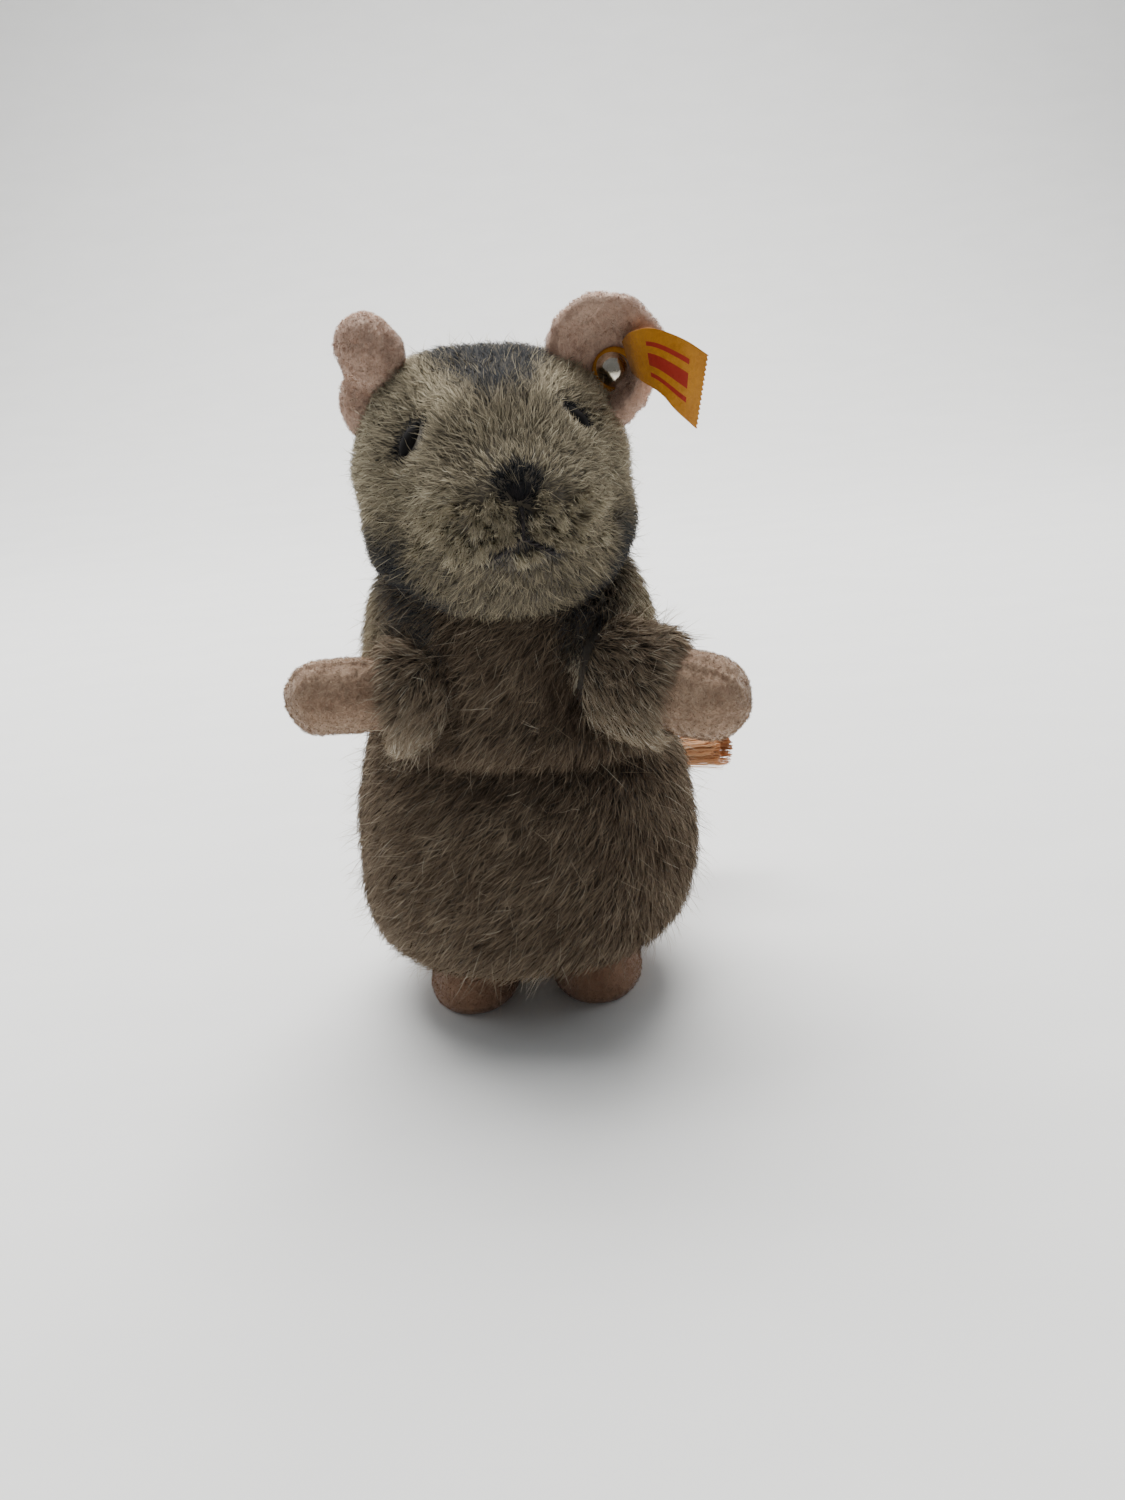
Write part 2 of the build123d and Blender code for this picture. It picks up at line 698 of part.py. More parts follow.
def make_pawl():
    """A click that drops towards the ratchet wheel. At rest it is held just clear of the teeth."""
    low = mesh_y + tooth_ded + 1.2
    ring = rod((pawl_x, low, pawl_z), (pawl_x, low + 0.8, pawl_z), 1.3)
    tip_x = 0.2
    tip_z = wheel_z + 4.15
    outline = [
        (pawl_x, pawl_z + 0.8),
        (pawl_x, pawl_z - 0.9),
        (tip_x + 0.6, tip_z),
        (tip_x - 0.2, tip_z + 0.1),
        (tip_x - 0.1, tip_z + 1.0),
    ]
    arm = Pos(0, low + 0.8, 0) * Rot(90, 0, 0) * extrude(Polygon(*outline, align=None), 0.8)
    nodes["pawl"] = ring + arm - rod((pawl_x, low - 1, pawl_z), (pawl_x, low + 2, pawl_z), 0.6 + running_gap)


def make_crank():
    reach = crank_reach
    nodes["crankshaft"] = rod((-reach, crank_y, crank_z), (reach, crank_y, crank_z), shaft_radius)
    pinion = pinion_solid(crank_teeth, 2.2, shaft_radius, 0)
    # A tooth points at the wheel, +Y, in the gap between two of its teeth.
    nodes["crank_pinion"] = Pos(crown_radius, crank_y, crank_z) * Rot(0, 90, 0) * Rot(0, 0, 90) * pinion
    for side, s in sides.items():
        disc = rod((s * (reach - 1.0), crank_y, crank_z), (s * reach, crank_y, crank_z), crank_disc_radius)
        disc = disc - rod((-20, crank_y, crank_z), (20, crank_y, crank_z), shaft_radius)
        pin_z = crank_z - s * crank_radius
        pin = rod((s * reach, crank_y, pin_z), (s * (lever_x - 0.7), crank_y, pin_z), pin_radius)
        cap = rod((s * reach, crank_y, crank_z), (s * (reach + 0.3), crank_y, crank_z), crank_cap_radius)
        nodes["crank_disc_" + side] = disc + cap + pin


def make_escapement():
    arbor_ends = ((0, escape_y, shelf_z - 0.8), (0, escape_y, roof_z + 0.8))
    nodes["escape_arbor"] = rod(*arbor_ends, escape_arbor_radius)
    pinion = pinion_solid(escape_teeth, 2.2, escape_arbor_radius, 90)
    nodes["escape_pinion"] = Pos(0, escape_y, wheel_z + crown_radius) * pinion
    points = []
    for k in range(escape_wheel_teeth):
        angle = 2 * pi * k / escape_wheel_teeth
        points.append((escape_wheel_root * cos(angle - 0.16), escape_wheel_root * sin(angle - 0.16)))
        points.append((escape_wheel_radius * cos(angle), escape_wheel_radius * sin(angle)))
        points.append((escape_wheel_root * cos(angle + 0.10), escape_wheel_root * sin(angle + 0.10)))
    star = extrude(Polygon(*points, align=None) - Circle(escape_arbor_radius), 0.4, both=True)
    nodes["escape_wheel"] = Pos(0, escape_y, escape_wheel_z) * star
    bar = Circle(pallet_hub_radius)
    for s in (-1, 1):
        tip = (s * 3.5, escape_y - 4.1 - pallet_y)
        arm = [(-0.9 * s, 0.8), (0.9 * s, -0.8), (tip[0] + 0.6 * s, tip[1] - 0.5), tip]
        bar = bar + Polygon(*arm[::s], align=None)
    bar = bar + Pos(0, -2.4) * Rectangle(5.0, 1.8)
    pallet = extrude(bar - Circle(pallet_pin_radius + running_gap), 0.5, both=True)
    nodes["pallet"] = Pos(0, pallet_y, escape_wheel_z) * pallet


def make_leg_pivot():
    end = lever_x + lever_thickness / 2 + 0.3
    pin = rod((-end - 0.8, crank_y, pivot_z), (end + 0.8, crank_y, pivot_z), shaft_radius)
    for s in sides.values():
        pin = pin + rod((s * end, crank_y, pivot_z), (s * (end + 0.8), crank_y, pivot_z), pivot_head_radius)
    nodes["leg_pivot_pin"] = pin
    spacers = []
    start = plate_x + plate_thickness / 2
    stop = lever_x - lever_thickness / 2 - 0.2
    for s in sides.values():
        tube = rod((s * start, crank_y, pivot_z), (s * stop, crank_y, pivot_z), pivot_head_radius)
        spacers.append(tube - rod((-20, crank_y, pivot_z), (20, crank_y, pivot_z), shaft_radius))
    nodes["pivot_spacers"] = spacers[0] + spacers[1]


def make_grommet():
    back = grommet_back
    flange = rod((0, back, wheel_z), (0, back + 0.8, wheel_z), grommet_flange_radius)
    barrel = rod((0, back - 3.0, wheel_z), (0, back, wheel_z), grommet_barrel_radius)
    bore = rod((0, 10, wheel_z), (0, 40, wheel_z), grommet_bore_radius)
    nodes["key_grommet"] = flange + barrel - bore


make_body()
make_head()
make_ears()
make_arms()
make_tail()
for leg_side in sides:
    make_leg(leg_side)
make_frame()
make_mainspring()
make_great_wheel()
make_winding()
make_pawl()
make_crank()
make_escapement()
make_leg_pivot()
make_grommet()
nodes["body_plush"] = nodes["body_plush"] - nodes["key_grommet"]

os.makedirs("parts", exist_ok=True)
for name, shape in nodes.items():
    export_step(Pos(0, axis_y, 0) * shape, f"parts/{name}.step")
print(len(nodes), "nodes")
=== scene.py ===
import json
import math

import bpy
import numpy as np
from mathutils import Matrix, Vector
from mathutils.kdtree import KDTree


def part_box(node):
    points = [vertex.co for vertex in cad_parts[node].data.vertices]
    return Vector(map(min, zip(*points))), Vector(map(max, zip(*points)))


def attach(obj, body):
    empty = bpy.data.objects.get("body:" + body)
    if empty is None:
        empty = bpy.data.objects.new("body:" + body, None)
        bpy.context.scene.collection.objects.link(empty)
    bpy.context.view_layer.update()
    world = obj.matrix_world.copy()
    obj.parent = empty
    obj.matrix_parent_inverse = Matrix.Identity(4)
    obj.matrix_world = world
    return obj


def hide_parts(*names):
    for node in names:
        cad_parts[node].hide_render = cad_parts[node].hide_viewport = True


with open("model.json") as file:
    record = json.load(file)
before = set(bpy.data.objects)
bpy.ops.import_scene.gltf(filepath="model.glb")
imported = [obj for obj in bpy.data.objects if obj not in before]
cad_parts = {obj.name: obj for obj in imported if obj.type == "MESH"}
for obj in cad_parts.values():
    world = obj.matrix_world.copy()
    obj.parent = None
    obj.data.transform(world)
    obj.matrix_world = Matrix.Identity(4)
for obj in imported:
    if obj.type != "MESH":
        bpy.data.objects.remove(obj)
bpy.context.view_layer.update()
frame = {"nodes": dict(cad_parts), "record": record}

# Shapes are drawn in millimetres about the mouse's upright axis, which is the middle of the base board,
# and turned into metres in the row frame when they become meshes.
MM = 0.001
board_low, board_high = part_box("base_board")
axis_point = np.array([(board_low.x + board_high.x) / 2, (board_low.y + board_high.y) / 2, 0.0])
rng = np.random.default_rng(20)


def metres(points):
    """Millimetres about the mouse's axis to metres in the row frame."""
    return np.asarray(points, float) * MM + axis_point


def unit(vectors):
    vectors = np.asarray(vectors, float)
    length = np.linalg.norm(vectors, axis=-1, keepdims=True)
    return vectors / np.maximum(length, 1e-9)


def smoothstep(low, high, value):
    t = np.clip((np.asarray(value, float) - low) / (high - low), 0, 1)
    return t * t * (3 - 2 * t)


# ---------------------------------------------------------------- materials


def srgb(red, green, blue):
    """Screen colour, 0 to 255, to linear."""
    out = []
    for value in (red, green, blue):
        c = value / 255
        out.append(c / 12.92 if c <= 0.04045 else ((c + 0.055) / 1.055) ** 2.4)
    return tuple(out)


def new_material(name, **inputs):
    material = bpy.data.materials.new(name)
    material.use_nodes = True
    tree = material.node_tree
    shader = tree.nodes["Principled BSDF"]
    feed(tree, shader, **inputs)
    return material, tree, shader


def feed(tree, node, **inputs):
    """Set a node's inputs. Each takes a value, or the output that feeds it."""
    for name, value in inputs.items():
        socket = node.inputs[name.replace("_", " ")]
        if isinstance(value, bpy.types.NodeSocket):
            tree.links.new(value, socket)
        else:
            socket.default_value = value


def add_node(tree, kind, **inputs):
    node = tree.nodes.new("ShaderNode" + kind)
    feed(tree, node, **inputs)
    return node


def ramp(tree, factor, stops, interpolation="LINEAR"):
    """The output of a colour ramp, from its stops in linear colour."""
    node = add_node(tree, "ValToRGB", Fac=factor)
    node.color_ramp.interpolation = interpolation
    elements = node.color_ramp.elements
    while len(elements) > 1:
        elements.remove(elements[-1])
    elements[0].position = stops[0][0]
    elements[0].color = (*stops[0][1], 1)
    for position, colour in stops[1:]:
        elements.new(position).color = (*colour, 1)
    return node.outputs["Color"]


def split_uv(tree):
    """The two numbers of the mesh's UV map."""
    uv = add_node(tree, "UVMap")
    uv.uv_map = "OFBake"
    parts = add_node(tree, "SeparateXYZ", Vector=uv.outputs["UV"])
    return parts.outputs["X"], parts.outputs["Y"]


def colour_mix(tree, blend, factor, first, second):
    mix = add_node(tree, "Mix")
    mix.data_type = "RGBA"
    mix.blend_type = blend
    feed(tree, mix, Factor=factor, A=first, B=second)
    return mix.outputs["Result"]


def paper_material(name, colour, roughness):
    """Plain paper, a little uneven."""
    material, tree, shader = new_material(name, Roughness=roughness)
    noise = add_node(tree, "TexNoise", Scale=140.0, Detail=6.0)
    stops = [(0.3, [c * 0.965 for c in colour]), (0.7, colour)]
    feed(tree, shader, Base_Color=ramp(tree, noise.outputs["Fac"], stops))
    return material


def pile_material(name, stops, root_shade=0.42, tip_light=1.18):
    """Colour by the UV map: across it the strand's shade, up it from the root, dark with painted shade, to
    the lighter tip.
    """
    material, tree, shader = new_material(name, Roughness=0.95, Specular_IOR_Level=0.08)
    across, along = split_uv(tree)
    shade = ramp(tree, across, [(position, srgb(*colour)) for position, colour in stops])
    # Darker towards the root: painted shade deep in the pile. The lighter tips are the fibres' own colour.
    light = ramp(tree, along, [(0.0, (root_shade,) * 3), (0.45, (0.85,) * 3), (1.0, (tip_light,) * 3)])
    feed(tree, shader, Base_Color=colour_mix(tree, "MULTIPLY", 1.0, shade, light))
    return material


def cloth_material(name, dark, light, scale, bump, roughness=0.9, sheen=0.4):
    """Felt or backing cloth: matted short fibres from two noises, with a fine bump."""
    material, tree, shader = new_material(
        name, Roughness=roughness, Specular_IOR_Level=0.2, Sheen_Weight=sheen, Sheen_Roughness=0.5
    )
    place = add_node(tree, "TexCoord").outputs["Object"]
    fine = add_node(
        tree, "TexNoise", Vector=place, Scale=scale, Detail=8.0, Roughness=0.65, Distortion=0.6
    )
    broad = add_node(tree, "TexNoise", Vector=place, Scale=scale / 6, Detail=3.0)
    blend = add_node(tree, "Mix", Factor=0.4, A=fine.outputs["Fac"], B=broad.outputs["Fac"])
    colour = ramp(tree, blend.outputs["Result"], [(0.34, srgb(*dark)), (0.66, srgb(*light))])
    height = add_node(tree, "Bump", Strength=bump, Distance=0.0003, Height=fine.outputs["Fac"])
    feed(tree, shader, Base_Color=colour, Normal=height.outputs["Normal"])
    return material


# The three bars on the label: where they begin and end along it, and their edges across it, as shares.
BAR_ENDS = (0.40, 0.80)
BAR_EDGES = (0.20, 0.27, 0.38, 0.58, 0.69, 0.76)


def printed_bars(material, ink):
    """Three plain bars printed along the label, placed by its UV map."""
    tree = material.node_tree
    shader = tree.nodes["Principled BSDF"]
    ground = shader.inputs["Base Color"].links[0].from_socket
    masks = []
    for part, edges in zip(split_uv(tree), (BAR_ENDS, BAR_EDGES)):
        stops = [(0.0, (0.0,) * 3)] + [(edge, (float(k % 2 == 0),) * 3) for k, edge in enumerate(edges)]
        masks.append(ramp(tree, part, stops, "CONSTANT"))
    both = add_node(tree, "Math")
    both.operation = "MULTIPLY"
    for socket, mask in zip(both.inputs, masks):
        tree.links.new(mask, socket)
    printed = colour_mix(tree, "MIX", both.outputs["Value"], ground, (*srgb(*ink), 1))
    feed(tree, shader, Base_Color=printed)


def metal_material(name, dark, light, roughness, scale, stretch=(1, 1, 1), metallic=1.0, bump=0.15):
    """Metal with fine working marks, drawn out along one axis where stretch says so."""
    material, tree, shader = new_material(name, Metallic=metallic)
    place = add_node(tree, "TexCoord").outputs["Object"]
    mapping = add_node(tree, "Mapping", Vector=place, Scale=stretch)
    noise = add_node(tree, "TexNoise", Vector=mapping.outputs["Vector"], Scale=scale, Detail=7.0)
    marks = noise.outputs["Fac"]
    colour = ramp(tree, marks, [(0.3, srgb(*dark)), (0.7, srgb(*light))])
    spread = add_node(tree, "MapRange", Value=marks, To_Min=roughness * 0.75, To_Max=roughness * 1.3)
    height = add_node(tree, "Bump", Strength=bump, Distance=0.0001, Height=marks)
    feed(tree, shader, Base_Color=colour, Roughness=spread.outputs["Result"])
    feed(tree, shader, Normal=height.outputs["Normal"])
    return material


# ---------------------------------------------------------------- camera and light

CAMERA_PLACE = (6.5, -174.0, 102.0)
CAMERA_PITCH = math.radians(20.0)
CAMERA_ROLL = math.radians(5.0)
CAMERA_LENS = 28.03


def make_camera():
    forward = Vector((0, math.cos(CAMERA_PITCH), -math.sin(CAMERA_PITCH)))
    level_up = Vector((0, math.sin(CAMERA_PITCH), math.cos(CAMERA_PITCH)))
    level_right = Vector((1, 0, 0))
    right = level_right * math.cos(CAMERA_ROLL) - level_up * math.sin(CAMERA_ROLL)
    up = level_right * math.sin(CAMERA_ROLL) + level_up * math.cos(CAMERA_ROLL)
    data = bpy.data.cameras.new("camera")
    data.lens = CAMERA_LENS
    data.sensor_width = 36.0
    data.clip_start = 0.01
    data.clip_end = 20.0
    camera = bpy.data.objects.new("camera", data)
    turn = Matrix((right, up, -forward)).transposed().to_4x4()
    camera.matrix_world = Matrix.Translation(Vector(metres(CAMERA_PLACE))) @ turn
    bpy.context.scene.collection.objects.link(camera)
    bpy.context.scene.camera = camera


def area_light(name, place, target, size, power, colour=(1, 1, 1)):
    data = bpy.data.lights.new(name, "AREA")
    data.shape = "RECTANGLE"
    data.size, data.size_y = size
    data.energy = power
    data.color = colour
    light = bpy.data.objects.new(name, data)
    place = Vector(place)
    aim = Vector(target) - place
    light.matrix_world = Matrix.Translation(place) @ aim.to_track_quat("-Z", "Y").to_matrix().to_4x4()
    bpy.context.scene.collection.objects.link(light)
    return light


def make_light():
    world = bpy.data.worlds.new("studio")
    bpy.context.scene.world = world
    world.use_nodes = True
    sky = world.node_tree.nodes["Background"]
    sky.inputs["Color"].default_value = (0.93, 0.96, 1.0, 1)
    sky.inputs["Strength"].default_value = 0.18
    area_light("top", (-0.05, 0.34, 0.80), (0, 0, 0.05), (0.85, 0.55), 19.5, (1.0, 0.99, 0.97))
    area_light("left", (-0.6, 0.25, 0.45), (0, 0, 0.06), (0.5, 0.6), 1.7, (0.95, 0.98, 1.0))
    area_light("right", (0.65, 0.25, 0.4), (0, 0, 0.06), (0.5, 0.6), 1.4, (0.95, 0.98, 1.0))
    area_light("sweep", (0.0, 0.1, 1.3), (0, 0.9, 0.6), (1.2, 0.4), 6.2)


def make_stage():
    """A floor that sweeps up into the backdrop a long way behind the mouse."""
    profile = [(-1.2, 0.0), (0.45, 0.0)]
    for k in range(1, 13):
        turn = math.radians(90 * k / 12)
        profile.append((0.45 + 0.5 * math.sin(turn), 0.5 - 0.5 * math.cos(turn)))
    profile.append((0.95, 2.2))
    points = [(x, y, z) for y, z in profile for x in (-2.5, 2.5)]
    faces = [(2 * k, 2 * k + 1, 2 * k + 3, 2 * k + 2) for k in range(len(profile) - 1)]
    mesh = bpy.data.meshes.new("floor")
    mesh.from_pydata(points, [], faces)
    mesh.shade_smooth()
    floor = bpy.data.objects.new("floor", mesh)
    bpy.context.scene.collection.objects.link(floor)
    mesh.materials.append(paper_material("paper_sweep", (0.80, 0.80, 0.79), 0.7))


# ---------------------------------------------------------------- mesh helpers


def mesh_object(name, points, faces, material, body):
    """A piece from points in millimetres about the axis."""
    mesh = bpy.data.meshes.new(name)
    mesh.from_pydata(metres(points).tolist(), [], [list(map(int, face)) for face in faces])
    mesh.validate()
    mesh.shade_smooth()
    mesh.materials.append(material)
    return placed(name, mesh, body)


def placed(name, data, body):
    """An object in the scene that rides on a body."""
    piece = bpy.data.objects.new(name, data)
    bpy.context.scene.collection.objects.link(piece)
    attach(piece, body)
    return piece


def soft_piece(name, points, faces, material, body, slot, stands_for, fill):
    """A stuffed piece that takes the place of one CAD node."""
    piece = mesh_object(name, points, faces, material, body)
    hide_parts(stands_for)


def set_uv(piece, across, up):
    """The UV map of a mesh from two numbers, 0 to 1, for each of its points."""
    layer = piece.data.uv_layers.new(name="OFBake")
    for loop in piece.data.loops:
        k = loop.vertex_index
        layer.data[loop.index].uv = (0.02 + 0.96 * across[k], 0.02 + 0.96 * up[k])


def circle(columns):
    """The angles of a ring of points."""
    return np.linspace(0, 2 * math.pi, columns, endpoint=False)


def ring_faces(rows, columns):
    """Quads between closed rings of points. Each ring holds the same number of points."""
    faces = []
    for r in range(rows - 1):
        near, far = r * columns, (r + 1) * columns
        for c in range(columns):
            d = (c + 1) % columns
            faces.append((near + c, near + d, far + d, far + c))
    return faces


def lofted(rows):
    """Points and faces of rings joined in order, with both ends closed by a middle point."""
    rows = [np.asarray(row, float) for row in rows]
    count = len(rows[0])
    points = np.concatenate(rows)
    faces = ring_faces(len(rows), count)
    first, last = len(points), len(points) + 1
    points = np.vstack([points, rows[0].mean(0), rows[-1].mean(0)])
    base = (len(rows) - 1) * count
    for c in range(count):
        d = (c + 1) % count
        faces.append((first, d, c))
        faces.append((last, base + c, base + d))
    a, b, c = (points[corner] for corner in triangles_of(faces).T)
    if (np.cross(b, c) * a).sum() < 0:
        faces = [face[::-1] for face in faces]
    return points, faces


def triangles_of(faces):
    tris = []
    for face in faces:
        for k in range(1, len(face) - 1):
            tris.append((face[0], face[k], face[k + 1]))
    return np.array(tris)


def vertex_normals(points, tris):
    points = np.asarray(points, float)
    a, b, c = (points[tris[:, k]] for k in range(3))
    flat = np.cross(b - a, c - a)
    normals = np.zeros_like(points)
    for k in range(3):
        np.add.at(normals, tris[:, k], flat)
    return unit(normals)


def roughened(points, faces, amount):
    """The points moved out along their normals."""
    normals = vertex_normals(points, triangles_of(faces))
    return points + normals * amount[:, None]


def scatter(points, faces, count, weight=None):
    """Random places on a surface, even by area, with smooth normals."""
    points = np.asarray(points, float)
    tris = triangles_of(faces)
    normals = vertex_normals(points, tris)
    a, b, c = (points[tris[:, k]] for k in range(3))
    area = np.linalg.norm(np.cross(b - a, c - a), axis=1)
    if weight is not None:
        area = area * weight((a + b + c) / 3)
    pick = rng.choice(len(tris), size=count, p=area / area.sum())
    r1 = np.sqrt(rng.random(count))[:, None]
    r2 = rng.random(count)[:, None]
    shares = (1 - r1, r1 * (1 - r2), r1 * r2)
    place = sum(share * points[tris[pick, k]] for k, share in enumerate(shares))
    normal = unit(sum(share * normals[tris[pick, k]] for k, share in enumerate(shares)))
    return place, normal


def wave_noise(points, scale, seed, octaves=3):
    """Smooth noise from a few seeded plane waves, about -1 to 1."""
    own = np.random.default_rng(seed)
    total = np.zeros(len(points))
    size = 1.0
    for octave in range(octaves):
        for _ in range(5):
            direction = unit(own.normal(size=3))
            phase = own.random() * 6.283
            wave = 6.283 / (scale * own.uniform(0.7, 1.4)) * 2**octave
            total += size * np.sin(points @ direction * wave + phase)
        size *= 0.55
    return total / 4.0


# ---------------------------------------------------------------- pile

STRANDS_PER_PIECE = 38000
# How many strands and stray hairs each part is given, before some are left out, and how many tufts the
# strands' tips draw together in.
TRUNK_STRANDS = 100000
TRUNK_CLUMPS = 6000
TRUNK_STRAYS = 2600
HEAD_STRANDS = 70000
HEAD_CLUMPS = 5200
HEAD_STRAYS = 1500
SLEEVE_STRANDS = 15000
SLEEVE_CLUMPS = 420
SLEEVE_STRAYS = 500
TUFTS = 46
STRANDS_PER_TUFT = 120
EAR_FUZZ = {"right": 12000, "left": 16000}
PAW_FUZZ = 15000
SHOE_FUZZ = 13000
# Lengths and widths of strands.
TRUNK_LENGTH = 4.1
SLEEVE_LENGTH = 3.1
NECK_LENGTH = 4.6
BODY_WIDTH = 0.135
FACE_WIDTH = 0.125
NECK_WIDTH = 0.13
TUFT_WIDTH = 0.15
STRAY_WIDTH = 0.07
FUZZ_LENGTH = 0.85
FUZZ_WIDTH = 0.075
# How much of a strand's shading normal is the cloth's own.
CLOTH_SHARE = 0.6
# No strand goes through the floor.
LOWEST_STRAND = 0.03
# Shares of a strand's width from root to tip, for strands of two and of three segments.
TAPERS = {2: (1.0, 0.5, 0.0), 3: (1.0, 0.9, 0.6, 0.0)}


def clump_leaders(place, amount):
    """For each strand, the strand whose tip it leans to."""
    chosen = rng.choice(len(place), size=amount, replace=False)
    tree = KDTree(amount)
    for number, index in enumerate(chosen):
        tree.insert(place[index], number)
    tree.balance()
    return np.array([chosen[tree.find(point)[1]] for point in place])


def grow(name, place, normal, flow, length, width, lift, shade, material, body,
         droop=0.75, spread=0.22, segments=3, clumps=0, clumping=0.5):
    """Strands of pile as narrow tapering ribbons, in pieces small enough to export whole.

    flow is the way the tips lie, lift the angle from the cloth at the root, and shade a number from 0 to
    1 that picks a strand's colour. The UV map holds the shade across and the way from root to tip up.
    droop bends a strand back to the cloth, spread turns it off the flow, and clumping draws tips
    together.
    """
    count = len(place)
    steps = np.broadcast_to(length, count)[:, None] / segments
    tangents = strand_tangents(normal, flow, lift, droop, spread, segments)
    line = [place]
    for tangent in tangents:
        line.append(line[-1] + tangent * steps)
    if clumps:
        leader = clump_leaders(place, clumps)
        for k in range(1, segments + 1):
            pull = clumping * (k / segments) ** 1.4
            line[k] = line[k] * (1 - pull) + line[k][leader] * pull
    points, normals = ribbons(line, tangents, normal, width)
    chunks = max(1, math.ceil(count / STRANDS_PER_PIECE))
    for number, chosen in enumerate(np.array_split(np.arange(count), chunks)):
        piece_name = name if chunks == 1 else f"{name}_{number + 1}"
        mesh = strand_mesh(piece_name, points[chosen], normals[chosen], shade[chosen], segments)
        mesh.materials.append(material)
        placed(piece_name, mesh, body)


def strand_tangents(normal, flow, lift, droop, spread, segments):
    """Which way each strand goes in each of its segments."""
    count = len(normal)
    along = unit(flow - (flow * normal).sum(1, keepdims=True) * normal)
    across = np.cross(normal, along)
    sway = rng.normal(size=count) * spread
    along = along * np.cos(sway)[:, None] + across * np.sin(sway)[:, None]
    across = np.cross(normal, along)
    angle = lift + rng.normal(size=count) * 0.16
    curl = rng.normal(size=count) * 0.25
    tangents = []
    for k in range(segments):
        lean = np.maximum(angle * (1 - droop * k / (segments - 1)), -0.1)
        side = curl * (k + 1) / segments
        tangents.append(
            along * (np.cos(lean) * np.cos(side))[:, None]
            + across * (np.cos(lean) * np.sin(side))[:, None]
            + normal * np.sin(lean)[:, None]
        )
    return tangents


def ribbons(line, tangents, normal, width):
    """Two edge points at each step of each strand and one at its tip, with their shading normals."""
    segments = len(tangents)
    roll = (rng.random(len(normal)) - 0.5) * math.pi
    points = []
    normals = []
    for k in range(segments + 1):
        tangent = tangents[min(k, segments - 1)]
        side = unit(np.cross(tangent, normal))
        up = np.cross(side, tangent)
        edge = side * np.cos(roll)[:, None] + up * np.sin(roll)[:, None]
        facing = up * np.cos(roll)[:, None] - side * np.sin(roll)[:, None]
        shading = unit(facing * (1 - CLOTH_SHARE) + normal * CLOTH_SHARE)
        half = edge * (width * TAPERS[segments][k] / 2)
        points += [line[k] - half, line[k] + half] if k < segments else [line[k]]
        normals += [shading, shading] if k < segments else [shading]
    points = np.stack(points, axis=1)
    points[..., 2] = np.maximum(points[..., 2], LOWEST_STRAND)
    return points, np.stack(normals, axis=1)


def strand_mesh(name, points, normals, shade, segments):
    """The mesh of many ribbons. Each is a row of quads that ends in a triangle."""
    amount = len(points)
    per = 2 * segments + 1
    pattern = []
    starts = []
    for k in range(segments - 1):
        starts.append(len(pattern))
        pattern += [2 * k, 2 * k + 1, 2 * k + 3, 2 * k + 2]
    starts.append(len(pattern))
    pattern += [2 * segments - 2, 2 * segments - 1, 2 * segments]
    pattern = np.array(pattern)
    each = np.arange(amount)[:, None]
    corners = (pattern + each * per).ravel()
    face_starts = (np.array(starts) + each * len(pattern)).ravel()
    mesh = bpy.data.meshes.new(name)
    mesh.vertices.add(amount * per)
    mesh.vertices.foreach_set("co", metres(points.reshape(-1, 3)).astype(np.float32).ravel())
    mesh.loops.add(len(corners))
    mesh.loops.foreach_set("vertex_index", corners.astype(np.int32))
    mesh.polygons.add(len(face_starts))
    mesh.polygons.foreach_set("loop_start", face_starts.astype(np.int32))
    mesh.update(calc_edges=True)
    mesh.shade_smooth()
    layer = mesh.uv_layers.new(name="OFBake")
    from_root = np.array([min(j // 2, segments) / segments for j in range(per)])
    across = np.clip(np.repeat(shade, len(pattern)), 0, 1)
    uv = np.stack([across, np.tile(from_root[pattern], amount)], axis=1) * 0.96 + 0.02
    layer.uv.foreach_set("vector", uv.astype(np.float32).ravel())
    mesh.normals_split_custom_set_from_vertices(normals.reshape(-1, 3).astype(np.float32))
    return mesh


def finish_nodes():
    """Each carried-over CAD node takes the finish of its material slot."""
    finishes = {
        "steel": metal_material(
            "plate_steel", (150, 152, 154), (190, 192, 192), 0.36, 300.0, (1, 1, 12)
        ),
        "spring_steel": metal_material(
            "blued_spring", (62, 68, 84), (104, 110, 124), 0.3, 260.0, (1, 1, 14)
        ),
        "brass": metal_material("wheel_brass", (176, 138, 62), (214, 178, 98), 0.3, 280.0),
        "key_metal": metal_material("key_nickel", (168, 168, 164), (206, 206, 200), 0.26, 240.0),
        "button_metal": metal_material(
            "button_nickel", (206, 196, 176), (240, 234, 220), 0.14, 700.0, bump=0.5
        ),
        "eye": eye_black,
        "washer_plastic": metal_material(
            "washer_plastic", (190, 186, 176), (210, 206, 196), 0.5, 300.0, metallic=0.0
        ),
        "card": cloth_material("base_card", (120, 96, 66), (164, 136, 98), 420.0, 0.4, 0.85, 0.0),
        "wadding": wadding,
        "thread": thread_dark,
        "pile": backing,
        "felt_pink": felt_pink,
        "felt_paw": felt_paw,
        "tag_cloth": tag_cloth,
        "tail_fibre": tail_yarn,
    }
    for part in frame["record"]["subparts"]:
        for slot in frame["nodes"][part["node"]].material_slots:
            slot.material = finishes[part["material_slot"]]


# ---------------------------------------------------------------- trunk

# Height and half-width of the outline of the pile, and how far the cloth lies under it.
TRUNK_OUTLINE = [
    (10.2, 19.2), (11.0, 22.8), (12.8, 25.6), (16.4, 27.2), (22.0, 27.8), (30.0, 27.4), (36.0, 26.4),
    (41.0, 24.9), (44.0, 24.2), (48.0, 23.8), (53.0, 23.2), (58.0, 22.6), (62.0, 21.6), (66.0, 20.2),
    (69.0, 18.2), (72.0, 14.0),
]
PILE_DEPTH = 2.3
TRUNK_DEPTH = 0.93
CREASE_Z = 44.6
# The crease runs higher at the mouse's right, and the hips sit a little to its right.
CREASE_SLOPE = 2.2
HIP_SHIFT = 0.9
